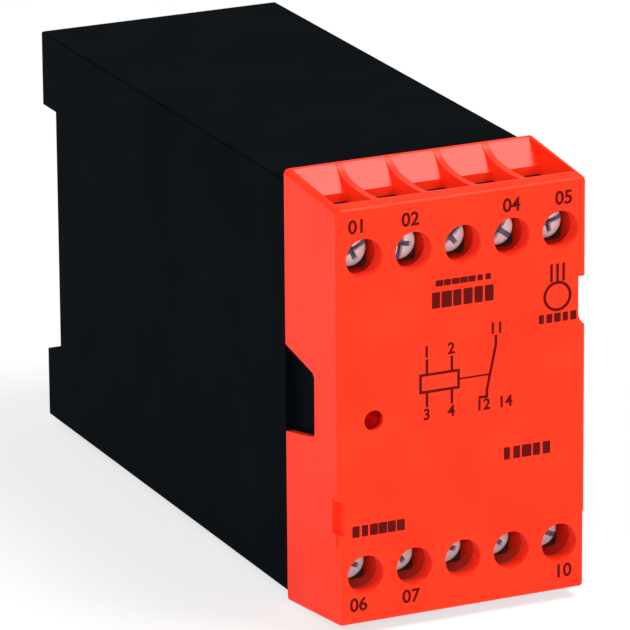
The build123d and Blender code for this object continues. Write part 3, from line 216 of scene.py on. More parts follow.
def set_curve(mapping, heights):
    """Straight runs through evenly spaced heights."""
    mapping.use_clip = False
    points = mapping.curves[0].points
    for i, height in enumerate(heights):
        x = i / (len(heights) - 1)
        if i in (0, len(heights) - 1):
            point = points[0 if i == 0 else len(points) - 1]
            point.location = (x, height)
        else:
            point = points.new(x, height)
        point.handle_type = "VECTOR"
    mapping.update()


class Finish(Graph):
    """A material with one Principled shader. Patterns read Object coordinates."""

    def __init__(self, name, **constants):
        self.material = bpy.data.materials.new(name)
        self.material.use_nodes = True
        super().__init__(self.material.node_tree)
        self.shader = self.tree.nodes["Principled BSDF"]
        for socket, value in constants.items():
            self.shader.inputs[socket.replace("_", " ")].default_value = value
        self.place = self.node("ShaderNodeTexCoord", out="Object")

    def noise(self, size, detail=2.0, roughness=0.5, stretch=None):
        """Noise between 0 and 1 whose features are about size millimetres wide."""
        place = self.place
        if stretch:
            place = self.node("ShaderNodeMapping", {}, {"Vector": place, "Scale": stretch})
        values = {"Vector": place, "Scale": 1 / (size * MM), "Detail": detail, "Roughness": roughness}
        return self.node("ShaderNodeTexNoise", {}, values, out="Fac")

    def axis(self, letter):
        return self.node("ShaderNodeSeparateXYZ", {}, {"Vector": self.place}, out=letter)

    def mix(self, factor, first, second):
        values = {0: factor, 6: self.colour(first), 7: self.colour(second)}
        return self.node("ShaderNodeMix", {"data_type": "RGBA"}, values, out=2)

    @staticmethod
    def colour(value):
        return value if isinstance(value, Value) else (*value, 1)

    def feed(self, **links):
        for socket, value in links.items():
            self.tree.links.new(value.socket, self.shader.inputs[socket.replace("_", " ")])

    def relief(self, height, distance):
        """Bump whose height is distance millimetres."""
        self.feed(Normal=self.node("ShaderNodeBump", {}, {"Height": height, "Distance": distance * MM}))


class Shape(Graph):
    """A Geometry Nodes tree with named inputs."""

    KINDS = {float: "NodeSocketFloat", int: "NodeSocketInt", tuple: "NodeSocketVector"}

    def __init__(self, name, **sizes):
        super().__init__(bpy.data.node_groups.new(name, "GeometryNodeTree"))
        face = self.tree.interface
        face.new_socket("Geometry", in_out="OUTPUT", socket_type="NodeSocketGeometry")
        self.identifiers = {}
        for size, value in sizes.items():
            made = face.new_socket(size, in_out="INPUT", socket_type=self.KINDS[type(value)])
            made.default_value = value
            self.identifiers[size] = made.identifier
        group_input = self.tree.nodes.new("NodeGroupInput")
        self.size = {size: Value(self, group_input.outputs[size]) for size in sizes}

    def vector(self, x=0.0, y=0.0, z=0.0):
        return self.node("ShaderNodeCombineXYZ", {}, {"X": x, "Y": y, "Z": z})

    def moved(self, geometry, by=(0, 0, 0), turn=(0, 0, 0), scale=(1, 1, 1)):
        values = {"Geometry": geometry, "Translation": by, "Rotation": turn, "Scale": scale}
        return self.node("GeometryNodeTransform", {}, values)

    def joined(self, *parts):
        return self.node("GeometryNodeJoinGeometry", {}, {"Geometry": list(parts)})

    def ends_in(self, geometry, material):
        """Closes the tree: real geometry with its material on it."""
        real = self.node("GeometryNodeRealizeInstances", {}, {"Geometry": geometry})
        painted = self.node("GeometryNodeSetMaterial", {}, {"Geometry": real, "Material": material})
        output = self.tree.nodes.new("NodeGroupOutput")
        self.tree.links.new(painted.socket, output.inputs["Geometry"])

    def build(self, name, **sizes):
        """A plain mesh object made by the tree with these sizes."""
        made = bpy.data.objects.new(name, bpy.data.meshes.new(name))
        scene.collection.objects.link(made)
        modifier = made.modifiers.new("shape", "NODES")
        modifier.node_group = self.tree
        for size, value in sizes.items():
            modifier[self.identifiers[size]] = value
        evaluated = made.evaluated_get(bpy.context.evaluated_depsgraph_get())
        mesh = bpy.data.meshes.new_from_object(evaluated)
        made.modifiers.clear()
        made.data = mesh
        mesh.name = name
        return made


def smooth_by_angle(mesh, degrees):
    """Smooth shading that breaks at edges sharper than this."""
    mesh.shade_smooth()
    made = bmesh.new()
    made.from_mesh(mesh)
    for edge in made.edges:
        edge.smooth = len(edge.link_faces) == 2 and edge.calc_face_angle(0) < math.radians(degrees)
    made.to_mesh(mesh)
    made.free()


def settle(piece):
    """Makes the result of the piece's modifiers its plain mesh."""
    final = bpy.data.meshes.new_from_object(piece.evaluated_get(bpy.context.evaluated_depsgraph_get()))
    piece.modifiers.clear()
    piece.data = final


def outward(mesh):
    made = bmesh.new()
    made.from_mesh(mesh)
    bmesh.ops.recalc_face_normals(made, faces=made.faces)
    made.to_mesh(mesh)
    made.free()


# Finishes
POCKET_GLOSS = 0.36


def cover_plastic():
    """Orange-red moulding: fine matt grain, faint flow streaks and a clouded colour."""
    finish = Finish("orange_moulding", Specular_IOR_Level=0.12, Coat_Roughness=0.4)
    cloud = finish.noise(9.0, detail=3.0)
    streak = finish.noise(2.5, detail=1.0, stretch=(0.35, 1.0, 3.0))
    colour = finish.mix(cloud.band(0.3, 0.7), (0.91, 0.026, 0.004), (0.95, 0.032, 0.007))
    grain = finish.noise(0.16, detail=2.0)
    finish.feed(Base_Color=colour, Roughness=0.36 + 0.08 * streak + 0.05 * grain)
    finish.relief(grain + 0.6 * streak, 0.012)
    # polished pins mould the wire pockets, so their walls are glossier than the outside
    x, y, z = (finish.axis(letter) for letter in "XYZ")
    behind_front = (y - FRONT).past(2.0, 3.0)
    within_sides = 1 - abs(x).past(20.8, 21.4)
    in_row = abs(z - MID).past(25.0, 27.0)
    finish.feed(Coat_Weight=POCKET_GLOSS * behind_front * within_sides * in_row)
    return finish.material


def housing_plastic():
    """Black moulding whose colour is tinted blue-grey as a painted sheen, with a spark-eroded grain."""
    finish = Finish("black_moulding", Specular_IOR_Level=0.003)
    cloud = finish.noise(14.0, detail=3.0)
    grain = finish.noise(0.22, detail=3.0, roughness=0.6)
    rub = finish.noise(5.0, detail=4.0, roughness=0.65)
    colour = finish.mix(cloud.band(0.3, 0.75), (0.0012, 0.0024, 0.0034), (0.0021, 0.0038, 0.0052))
    finish.feed(Base_Color=colour, Roughness=0.38 + 0.09 * rub + 0.06 * grain)
    finish.relief(grain, 0.018)
    return finish.material


def latch_plastic():
    finish = Finish("latch_moulding", Specular_IOR_Level=0.45)
    grain = finish.noise(0.3, detail=2.0)
    wear = finish.noise(2.0, detail=3.0)
    colour = finish.mix(wear.band(0.45, 0.8), (0.018, 0.018, 0.020), (0.035, 0.035, 0.038))
    finish.feed(Base_Color=colour, Roughness=0.38 + 0.15 * wear)
    finish.relief(grain, 0.01)
    return finish.material


def zinc_plate():
    """Bright zinc on steel: satin, with faint clouds, turning marks and small handling scratches, and
    painted shade darkening the slot and cross.
    """
    finish = Finish("zinc_plate", Metallic=0.15)
    cloud = finish.noise(1.6, detail=3.0)
    scratch = finish.noise(0.5, detail=4.0, roughness=0.7, stretch=(1.0, 1.0, 7.0))
    tint = finish.mix(cloud.band(0.35, 0.65), (0.97, 1.0, 1.0), (0.82, 0.91, 0.95))
    worn = finish.mix(scratch.band(0.60, 0.72), tint, (0.36, 0.38, 0.46))
    # painted shade: the colour darkens to blue-grey deep in the slot and the cross, by depth below the
    # head's top
    heads = UPPER_HEADS + (LOWER_HEADS - UPPER_HEADS) * (finish.axis("Z") < MID)
    depth = finish.axis("Y") - heads
    in_slot = depth.past(0.55, 0.95) - depth.past(1.6, 1.9)
    colour = finish.mix(in_slot, worn, (0.15, 0.15, 0.23))
    finish.feed(Base_Color=colour, Roughness=0.36 + 0.22 * scratch)
    finish.relief(scratch, 0.008)
    return finish.material


def clamp_steel():
    """The clamping plates: yellowed plating, duller than the screws, its colour darkened nearly to black
    as painted shade inside the screw holes.
    """
    finish = Finish("clamp_steel", Metallic=1.0)
    cloud = finish.noise(1.2, detail=3.0)
    colour = finish.mix(cloud.band(0.3, 0.7), (0.10, 0.085, 0.075), (0.055, 0.045, 0.04))
    finish.feed(Base_Color=colour, Roughness=0.42 + 0.2 * cloud)
    finish.relief(cloud, 0.01)
    return finish.material


def metal(name, light, dark, roughness, size=1.2):
    finish = Finish(name, Metallic=1.0)
    cloud = finish.noise(size, detail=3.0)
    fine = finish.noise(size / 5, detail=3.0)
    colour = finish.mix(cloud.band(0.3, 0.7), light, dark)
    finish.feed(Base_Color=colour, Roughness=roughness + 0.2 * fine)
    finish.relief(fine, 0.01)
    return finish.material


def plastic(name, light, dark, roughness, size=3.0, **constants):
    finish = Finish(name, **constants)
    cloud = finish.noise(size, detail=3.0)
    grain = finish.noise(size / 12, detail=2.0)
    colour = finish.mix(cloud.band(0.3, 0.7), light, dark)
    finish.feed(Base_Color=colour, Roughness=roughness + 0.12 * grain)
    finish.relief(grain, 0.01)
    return finish.material


def circuit_board():
    """Green lacquer over glass cloth: a fine crossed weave under the lacquer."""
    finish = Finish("board_lacquer", Coat_Weight=0.6, Coat_Roughness=0.12)
    weft, warp = (
        finish.node(
            "ShaderNodeTexWave",
            {"wave_type": "BANDS", "bands_direction": direction},
            {"Vector": finish.place, "Scale": 300.0, "Distortion": 0.5},
            out="Fac",
        )
        for direction in ("Z", "DIAGONAL")
    )
    cloth = weft * warp
    tracks = finish.noise(4.0, detail=0.0, stretch=(1.0, 0.5, 2.0)).band(0.5, 0.53)
    base = finish.mix(tracks, (0.012, 0.085, 0.030), (0.020, 0.150, 0.050))
    finish.feed(Base_Color=finish.mix(0.3 * cloth, base, (0.05, 0.2, 0.08)), Roughness=0.35 + 0.1 * cloth)
    finish.relief(tracks + 0.2 * cloth, 0.03)
    return finish.material


def wound_wire():
    """Enamelled copper wire laid turn beside turn."""
    finish = Finish("wound_wire", Metallic=0.85, Coat_Weight=0.7, Coat_Roughness=0.1)
    turns = finish.node(
        "ShaderNodeTexWave",
        {"wave_type": "BANDS", "bands_direction": "X", "wave_profile": "SIN"},
        {"Vector": finish.place, "Scale": 900.0, "Distortion": 0.3, "Detail": 1.0},
        out="Fac",
    )
    # painted shade: the colour darkens to brown in the grooves between the turns
    colour = finish.mix(turns.band(0.1, 0.6), (0.16, 0.05, 0.02), (0.62, 0.24, 0.09))
    finish.feed(Base_Color=colour, Roughness=0.28 + 0.15 * finish.noise(0.8))
    finish.relief(turns, 0.06)
    return finish.material


def print_ink():
    finish = Finish("maroon_ink", Specular_IOR_Level=0.08)
    patch = finish.noise(0.35, detail=3.0)
    colour = finish.mix(patch.band(0.35, 0.75), (0.075, 0.0015, 0.0010), (0.130, 0.0030, 0.0015))
    finish.feed(Base_Color=colour, Roughness=0.5 + 0.2 * patch)
    return finish.material


ZINC = zinc_plate()
INK = print_ink()
COVER = cover_plastic()
HOUSING = housing_plastic()
STEEL = metal("oiled_steel", (0.42, 0.42, 0.43), (0.30, 0.30, 0.32), 0.35)
BOBBIN = plastic("natural_bobbin", (0.62, 0.58, 0.48), (0.52, 0.48, 0.38), 0.4)
BLACK_CASE = plastic("black_case", (0.016, 0.016, 0.017), (0.026, 0.026, 0.028), 0.45)
WIRE = wound_wire()
BOARD = circuit_board()
TINNED = metal("tinned_brass", (0.74, 0.73, 0.70), (0.60, 0.60, 0.58), 0.22, size=0.5)
SLEEVE = plastic("blue_sleeve", (0.012, 0.020, 0.075), (0.020, 0.032, 0.11), 0.22, Coat_Weight=0.3)

NODE_FINISHES = {
    "rail_latch": latch_plastic(),
    "latch_spring": metal("spring_wire", (0.58, 0.57, 0.56), (0.40, 0.40, 0.41), 0.28, size=0.6),
    "terminal_bars": metal("brass_bar", (0.78, 0.66, 0.42), (0.62, 0.50, 0.28), 0.28),
    "terminal_block": BLACK_CASE,
    "clamp_plate": clamp_steel(),
    "terminal_screw": ZINC,
    "board_pins": TINNED,
    "transformer_pins": TINNED,
    "coil_pins": TINNED,
    "_board": BOARD,
    "lamp_spacer": plastic(
        "spacer_nylon", (0.70, 0.69, 0.62), (0.60, 0.59, 0.52), 0.4, Subsurface_Weight=0.1
    ),
    "core": STEEL,
    "yoke": STEEL,
    "armature": STEEL,
    "bobbin": BOBBIN,
    "relay_base": BOBBIN,
    "winding": WIRE,
    "relay_cover": plastic(
        "smoked_case",
        (0.30, 0.33, 0.34),
        (0.36, 0.38, 0.39),
        0.12,
        Transmission_Weight=0.6,
        Coat_Weight=0.4,
    ),
    "contact": metal("silver_contact", (0.78, 0.70, 0.58), (0.62, 0.52, 0.40), 0.25, size=0.7),
    "smoothing_capacitor": SLEEVE,
    "timing_capacitors": SLEEVE,
    "film_capacitor": plastic("yellow_case", (0.62, 0.42, 0.04), (0.70, 0.48, 0.06), 0.3),
    "varistor": plastic("blue_dip", (0.03, 0.10, 0.36), (0.04, 0.13, 0.42), 0.25, Coat_Weight=0.4),
    "chip": BLACK_CASE,
    "diodes": BLACK_CASE,
    "resistors": plastic(
        "resistor_lacquer", (0.55, 0.42, 0.26), (0.48, 0.36, 0.22), 0.28, size=1.5, Coat_Weight=0.3
    ),
    "lamp": plastic(
        "red_lens", (0.22, 0.0, 0.0), (0.27, 0.0005, 0.0), 0.30, size=1.0, Specular_IOR_Level=0.02
    ),
}


def finish_of(name):
    """The finish of the longest key that the node's name holds."""
    keys = sorted((key for key in NODE_FINISHES if key in name), key=len)
    return NODE_FINISHES[keys[-1]] if keys else BLACK_CASE


for name, node in nodes.items():
    node.data.materials.clear()
    node.data.materials.append(finish_of(name))


# Mouldings with softened edges
SHARP_ANGLE = 25  # degrees past which an edge is rounded
SMOOTH_ANGLE = 40  # degrees up to which faces are shaded as one


def merged_copy(node_name, name, material):
    """A copy of the CAD solid whose triangles share their corners."""
    mesh = nodes[node_name].data.copy()
    made = bmesh.new()
    made.from_mesh(mesh)
    bmesh.ops.remove_doubles(made, verts=made.verts, dist=1e-7)
    made.to_mesh(mesh)
    made.free()
    mesh.materials.clear()
    mesh.materials.append(material)
    piece = bpy.data.objects.new(name, mesh)
    scene.collection.objects.link(piece)
    return piece


def softened(node_name, material, width):
    """The CAD solid with all its edges rounded by this many millimetres, as a moulding has them."""
    piece = merged_copy(node_name, f"{node_name}_moulding", material)
    bevel = piece.modifiers.new("edges", "BEVEL")
    bevel.width, bevel.segments = width * MM, 2
    bevel.limit_method, bevel.angle_limit = "ANGLE", math.radians(SHARP_ANGLE)
    bevel.miter_outer = "MITER_ARC"
    settle(piece)
    smooth_by_angle(piece.data, SMOOTH_ANGLE)
    # large faces keep their own normals beside the narrow rounded ones
    weighted = piece.modifiers.new("flat_faces", "WEIGHTED_NORMAL")
    weighted.mode, weighted.weight, weighted.keep_sharp = "FACE_AREA", 100, True
    settle(piece)
    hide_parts(node_name)
    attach(piece, nodes[node_name]["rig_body"])
    return piece


cover = softened("front_cover", COVER, 0.22)
housing = softened("housing", HOUSING, 0.2)


# Latch spring: a smooth-shaded copy of the CAD coil, whose foot stands on the housing's stub
spring = merged_copy("latch_spring", "latch_spring_coil", NODE_FINISHES["latch_spring"])
smooth_by_angle(spring.data, SMOOTH_ANGLE)
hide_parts("latch_spring")
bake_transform(spring)


# Terminal screws
HEAD_D = 5.9
HEAD_HEIGHT = 2.0
SHANK_D = 2.9
SLOT_ANGLES = (25, 80, 40, -35, 15, 65, 35, 70, 50, -25)
# fall of the head's top from its centre to its rim, as shares of its height
CROWN = (0.0, 0.004, 0.012, 0.025, 0.04, 0.06, 0.085, 0.12, 0.18, 0.27, 0.48)
HEAD_CELLS = 40  # cells across the grid of the head's top
SLOT_CELLS = 6  # cells across the slot
EVEN_CELLS = 13  # cells out from the centre that are as wide as the slot's
NEARLY_HALF = 0.49  # of a width, so that whole cells are chosen
TURNED_SIDES = 32
WELD = 1e-6


def grid_line(place, cell, radius):
    """Gives the grid lines near the centre the slot's spacing, and keeps the rim where it is."""
    half_cells = HEAD_CELLS / 2
    even = place / radius * half_cells
    outside = (radius - EVEN_CELLS * cell) / (half_cells - EVEN_CELLS)
    beyond = even.math("MAXIMUM", abs(even) - EVEN_CELLS, 0.0)
    within = even.math("MINIMUM", abs(even), float(EVEN_CELLS))
    return even.math("SIGN", even) * (within * cell + beyond * outside)


def screw_shape():
    shape = Shape(
        "terminal_screw",
        Head_diameter=HEAD_D * MM,
        Head_height=HEAD_HEIGHT * MM,
        Shank_diameter=SHANK_D * MM,
        Length=11.5 * MM,
        Slot_width=0.9 * MM,
        Slot_depth=1.0 * MM,
        Slot_angle=0.0,
        Cross_length=3.6 * MM,
        Cross_depth=1.5 * MM,
        Thread_pitch=0.6 * MM,
        Thread_depth=0.28 * MM,
        Collar_diameter=4.2 * MM,
        Collar_start=3.1 * MM,
        Collar_height=0.5 * MM,
        Place=(0.0, 0.0, 0.0),
    )
    size = shape.size
    radius = size["Head_diameter"] * 0.5
    shank = size["Shank_diameter"] * 0.5
    position = shape.node("GeometryNodeInputPosition")
    axes = shape.node("ShaderNodeSeparateXYZ", {}, {"Vector": position})
    x, y, z = (axes.out(letter) for letter in "XYZ")
    reach = x.math("SQRT", x * x + y * y)

    def curve(heights, along):
        return shape.node("ShaderNodeFloatCurve", {"curve": heights}, {"Value": along})

    def put(geometry, place, chosen=True):
        values = {"Geometry": geometry, "Selection": chosen, "Position": place}
        return shape.node("GeometryNodeSetPosition", {}, values)

    def weld(geometry):
        return shape.node("GeometryNodeMergeByDistance", {}, {"Geometry": geometry, "Distance": WELD})

    def near(value, width):
        """Cells less than half of this width from the middle."""
        return abs(value) < width * NEARLY_HALF

    def press(mesh, chosen, depth, taper=1.0):
        """Sinks the chosen cells to this depth. Returns the mesh and its new walls."""
        values = {"Mesh": mesh, "Selection": chosen, "Offset Scale": 0.0, "Individual": False}
        pressed = shape.node("GeometryNodeExtrudeMesh", {}, values)
        floor = shape.vector(x * taper, y * taper, depth)
        return put(pressed, floor, pressed.out("Top")), pressed.out("Side")

    def lathe(radii, heights, across, height):
        """A turned solid, whose outline is given as shares of its radius and its height."""
        cells = {"Size X": 1.0, "Size Y": 1.0, "Vertices X": TURNED_SIDES + 1, "Vertices Y": len(radii)}
        sheet = shape.node("GeometryNodeMeshGrid", {}, cells)
        around, along = x * math.tau, y + 0.5
        r = across * curve(radii, along)
        rise = height * curve(heights, along)
        turned = shape.vector(r * around.math("COSINE", around), r * around.math("SINE", around), rise)
        return weld(put(sheet, turned))

    # the head's top: a square grid in line with the slot, drawn out to a disc towards its rim
    cells = {"Size X": 2 * radius, "Size Y": 2 * radius}
    cells |= {"Vertices X": HEAD_CELLS + 1, "Vertices Y": HEAD_CELLS + 1}
    head = shape.node("GeometryNodeMeshGrid", {}, cells)
    cell = size["Slot_width"] / SLOT_CELLS
    head = put(head, shape.vector(grid_line(x, cell, radius), grid_line(y, cell, radius)))
    square = x.math("MAXIMUM", abs(x), abs(y))
    rounding = (square / radius).band(0.62, 1.0)
    pull = 1 + rounding * (square / (reach + 1e-9) - 1)
    head = put(head, shape.vector(x * pull, y * pull))
    head = put(head, shape.vector(x, y, curve(CROWN, reach / radius) * size["Head_height"]))

    # slot and cross, sunk in two steps. The slot's ends stay open.
    in_slot = near(y, size["Slot_width"])
    in_arms = near(x, size["Slot_width"]) * near(y, size["Cross_length"])
    along_slot = near(x, size["Cross_length"]) * in_slot
    head, walls = press(head, in_slot | in_arms, size["Slot_depth"])
    ends = {"Geometry": head, "Selection": walls * (reach > radius * 0.985)}
    head = shape.node("GeometryNodeDeleteGeometry", {"domain": "FACE"}, ends)
    low = z > size["Slot_depth"] * 0.98
    head, walls = press(head, (in_arms | along_slot) * low, size["Cross_depth"], taper=0.7)

    # the head's side and its underside, drawn from its open rim
    for end in (shape.vector(x, y, size["Head_height"]), shape.vector(z=size["Head_height"])):
        faces_beside = shape.node("GeometryNodeInputMeshEdgeNeighbors")
        rim = faces_beside.math("COMPARE", faces_beside, 1.0, 0.1)
        values = {"Mesh": head, "Selection": rim, "Offset Scale": 0.0}
        drawn = shape.node("GeometryNodeExtrudeMesh", {"mode": "EDGES"}, values)
        head = put(drawn, end, drawn.out("Top"))
    head = weld(head)

    # shank with its point, the plain neck under the head, and the collar that keeps the plate on
    body = lathe((0.0, 0.86, 0.86, 0.5, 0.0), (0.25, 0.25, 0.95, 1.0, 1.0), shank, size["Length"])
    neck = lathe((0.0, 1.0, 1.0, 0.0), (0.9, 0.9, 1.6, 1.6), shank, size["Head_height"])
    collar = lathe(
        (0.0, 0.94, 1.0, 1.0, 0.94, 0.0),
        (0.0, 0.0, 0.15, 0.85, 1.0, 1.0),
        size["Collar_diameter"] * 0.5,
        size["Collar_height"],
    )
    collar = shape.moved(collar, shape.vector(z=size["Collar_start"]))

    # thread: a ridge wound round the shank
    thread_start = size["Collar_start"] + size["Collar_height"] * 1.5
    thread_length = size["Length"] * 0.94 - thread_start
    middle = shank - size["Thread_depth"] * 0.5
    winding = {
        "Resolution": 20,
        "Rotations": thread_length / size["Thread_pitch"],
        "Start Radius": middle,
        "End Radius": middle,
        "Height": thread_length,
    }
    helix = shape.node("GeometryNodeCurveSpiral", {}, winding)
    profile = {"Resolution": 4, "Radius": size["Thread_depth"] * 0.7}
    ridge = shape.node("GeometryNodeCurvePrimitiveCircle", {}, profile)
    swept = {"Curve": helix, "Profile Curve": ridge, "Fill Caps": True}
    thread = shape.moved(shape.node("GeometryNodeCurveToMesh", {}, swept), shape.vector(z=thread_start))

    whole = shape.joined(head, neck, body, collar, thread)
    turned = shape.moved(whole, turn=shape.vector(z=0.0 - size["Slot_angle"]))
    shape.ends_in(shape.moved(turned, size["Place"], (-math.pi / 2, 0.0, 0.0)), ZINC)
    return shape


screw = screw_shape()
for number, angle in enumerate(SLOT_ANGLES, 1):
    node_name = f"terminal_screw_{number:02d}"
    low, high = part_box(node_name)
    place = ((low.x + high.x) / 2, low.y, (low.z + high.z) / 2)
    piece = screw.build(f"{node_name}_turned", Place=place, Slot_angle=math.radians(angle))
    outward(piece.data)
    smooth_by_angle(piece.data, 35)
    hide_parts(node_name)
    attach(piece, nodes[node_name]["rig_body"])


# Print on the cover. Places are X and a rise above mid height, in millimetres.
INK_HEIGHT = 0.05
LINE = 0.46
THIN_LINE = 0.3
DIGIT_HEIGHT = 2.3
SMALL_DIGIT_HEIGHT = 1.9
FONT_SIZE = 1.38  # font size for a digit 1 high
DIGIT_WEIGHT = 0.07
UPPER_LABELS = {1: -18.7, 2: -9.3, 4: 8.7, 5: 18.1}
LOWER_LABELS = {6: -18.8, 7: -9.4, 10: 18.2}
UPPER_LABEL_RISE = 32.0
LOWER_LABEL_RISE = -31.8
# circuit symbol: a coil linked to a change-over contact
COIL = dict(x=-4.2, rise=4.15, wide=6.8, high=2.9)
COIL_LEADS = (-6.45, -2.0)
COIL_LEAD_ENDS = (0.1, 8.2)
LINK_RISE = 4.1
LINK_END = 4.6
CONTACT = ((2.8, 0.4), (4.3, 0.4), (4.3, 1.6), (5.9, 9.0), (5.9, 10.6))
SYMBOL_NUMBERS = {
    1: (-6.5, 9.4),
    2: (-2.1, 9.4),
    3: (-6.5, -1.2),
    4: (-2.1, -1.2),
    11: (6.0, 11.7),
    12: (3.6, -1.0),
    14: (7.6, -1.0),
}
# general sign for a three-phase machine: a ring with three leads
RING = dict(x=17.0, rise=15.6, radius=2.3, width=0.5)
RING_LEADS = (15.9, 17.0, 18.1)
RING_LEAD_ENDS = (18.1, 21.1)
RING_LEAD_LINE = 0.45


def printed(x, rise):
    return Vector((x * MM, FRONT, MID + rise * MM))


def ink_slab(made, outline):
    """A closed outline of the print, as a thin layer on the cover's face."""
    raised = Vector((0, -INK_HEIGHT * MM, 0))
    base = [made.verts.new(p) for p in outline]
    top = [made.verts.new(p + raised) for p in outline]
    made.faces.new(base)
    made.faces.new(top)
    for i in range(len(base)):
        made.faces.new((base[i - 1], base[i], top[i], top[i - 1]))


def ink_path(made, *points, width=LINE):
    """One line of the print through these points, with mitred corners and square ends."""
    points = [Vector(p) for p in points]
    sides = []
    for a, b in zip(points, points[1:]):
        along = (b - a).normalized()
        sides.append(Vector((-along.y, along.x)))
    left, right = [], []
    for point, before, after in zip(points, sides[:1] + sides, sides + sides[-1:]):
        mitre = (before + after).normalized()
        offset = mitre * width / 2 / mitre.dot(before)
        left.append(printed(*(point + offset)))
        right.append(printed(*(point - offset)))
    ink_slab(made, left + right[::-1])


def ink_loop(made, outer, inner):
    """A closed line of the print between two outlines with as many points."""
    raised = Vector((0, -INK_HEIGHT * MM, 0))
    loops = []
    for out, within in zip(outer, inner):
        ends = [printed(*out), printed(*within)]
        loops.append([made.verts.new(p) for p in (ends[0], ends[1], ends[1] + raised, ends[0] + raised)])
    for i, loop in enumerate(loops):
        for k in range(4):
            made.faces.new((loops[i - 1][k - 1], loops[i - 1][k], loop[k], loop[k - 1]))


def ink_ring(made, x, rise, radius, width, steps=48):
    turns = [math.tau * i / steps for i in range(steps)]
    rings = [
        [(x + r * math.cos(turn), rise + r * math.sin(turn)) for turn in turns]
        for r in (radius + width / 2, radius - width / 2)
    ]
    ink_loop(made, *rings)


def ink_frame(made, x, rise, wide, high, width=LINE):
    corners = ((-1, -1), (1, -1), (1, 1), (-1, 1))
    frames = [
        [(x + sx * (wide + w) / 2, rise + sy * (high + w) / 2) for sx, sy in corners]
        for w in (width, -width)
    ]
    ink_loop(made, *frames)


def ink_number(made, text, x, rise, height):
    """A plain number, centred on this place."""
    font = bpy.data.curves.new("number", "FONT")
    font.body, font.size = text, height * FONT_SIZE * MM
    font.align_x, font.align_y = "CENTER", "CENTER"
    font.extrude, font.offset = INK_HEIGHT / 2 * MM, DIGIT_WEIGHT * MM
    holder = bpy.data.objects.new("number", font)
    scene.collection.objects.link(holder)
    mesh = bpy.data.meshes.new_from_object(holder.evaluated_get(bpy.context.evaluated_depsgraph_get()))
    upright = Matrix.Rotation(math.pi / 2, 4, "X")
    mesh.transform(Matrix.Translation(printed(x, rise) - Vector((0, INK_HEIGHT / 2 * MM, 0))) @ upright)
    closed = bmesh.new()
    closed.from_mesh(mesh)
    bmesh.ops.remove_doubles(closed, verts=closed.verts, dist=1e-7)
    closed.to_mesh(mesh)
    closed.free()
    made.from_mesh(mesh)
    bpy.data.objects.remove(holder)
    bpy.data.meshes.remove(mesh)


def front_print():
    made = bmesh.new()
    for labels, rise in ((UPPER_LABELS, UPPER_LABEL_RISE), (LOWER_LABELS, LOWER_LABEL_RISE)):
        for number, x in labels.items():
            ink_number(made, f"{number:02d}", x, rise, DIGIT_HEIGHT)
    ink_frame(made, **COIL)
    half_coil = (COIL["high"] + LINE) / 2
    lead_foot, lead_top = COIL_LEAD_ENDS
    for x in COIL_LEADS:
        ink_path(made, (x, COIL["rise"] + half_coil), (x, lead_top))
        ink_path(made, (x, COIL["rise"] - half_coil), (x, lead_foot))
    link_start = COIL["x"] + (COIL["wide"] + LINE) / 2
    ink_path(made, (link_start, LINK_RISE), (LINK_END, LINK_RISE), width=THIN_LINE)
    ink_path(made, *CONTACT)
    for number, (x, rise) in SYMBOL_NUMBERS.items():
        ink_number(made, str(number), x, rise, SMALL_DIGIT_HEIGHT)
    ink_ring(made, **RING)
    lead_foot, lead_top = RING_LEAD_ENDS
    for x in RING_LEADS:
        ink_path(made, (x, lead_foot), (x, lead_top), width=RING_LEAD_LINE)
    bmesh.ops.recalc_face_normals(made, faces=made.faces)
    mesh = bpy.data.meshes.new("front_print")
    made.to_mesh(mesh)
    made.free()
    mesh.materials.append(INK)
    piece = bpy.data.objects.new("front_print", mesh)
    scene.collection.objects.link(piece)
    return piece


def bar_row_shape():
    """A row of rounded bars of uneven length."""
    shape = Shape(
        "bar_row",
        Count=5,
        Bar_length=1.4 * MM,
        Bar_height=2.0 * MM,
        Step=1.9 * MM,
        Corner=0.15 * MM,
        Seed=1,
        Place=(0.0, 0.0, 0.0),
    )
    size = shape.size
    row = {"Count": size["Count"], "Offset": shape.vector(size["Step"])}
    line = shape.node("GeometryNodeMeshLine", {}, row)
    oblong = {"Width": size["Bar_length"], "Height": size["Bar_height"]}
    outline = shape.node("GeometryNodeCurvePrimitiveQuadrilateral", {}, oblong)
    corners = {"Curve": outline, "Count": 4, "Radius": size["Corner"]}
    rounded = shape.node("GeometryNodeFilletCurve", {"mode": "POLY"}, corners)
    filled = shape.node("GeometryNodeFillCurve", {"mode": "NGONS"}, {"Curve": rounded})
    raised = {"Mesh": filled, "Offset Scale": INK_HEIGHT * MM, "Individual": False}
    slab = shape.node("GeometryNodeExtrudeMesh", {}, raised)
    closed = shape.joined(slab, shape.node("GeometryNodeFlipFaces", {}, {"Mesh": filled}))
    closed = shape.node("GeometryNodeMergeByDistance", {}, {"Geometry": closed, "Distance": 1e-7})
    limits = {2: 0.6, 3: 1.15, "Seed": size["Seed"]}
    stretch = shape.node("FunctionNodeRandomValue", {"data_type": "FLOAT"}, limits, out=1)
    each = {"Points": line, "Instance": closed, "Scale": shape.vector(stretch, 1.0, 1.0)}
    bars = shape.node("GeometryNodeInstanceOnPoints", {}, each)
    shape.ends_in(shape.moved(bars, size["Place"], (math.pi / 2, 0.0, 0.0)), INK)
    return shape


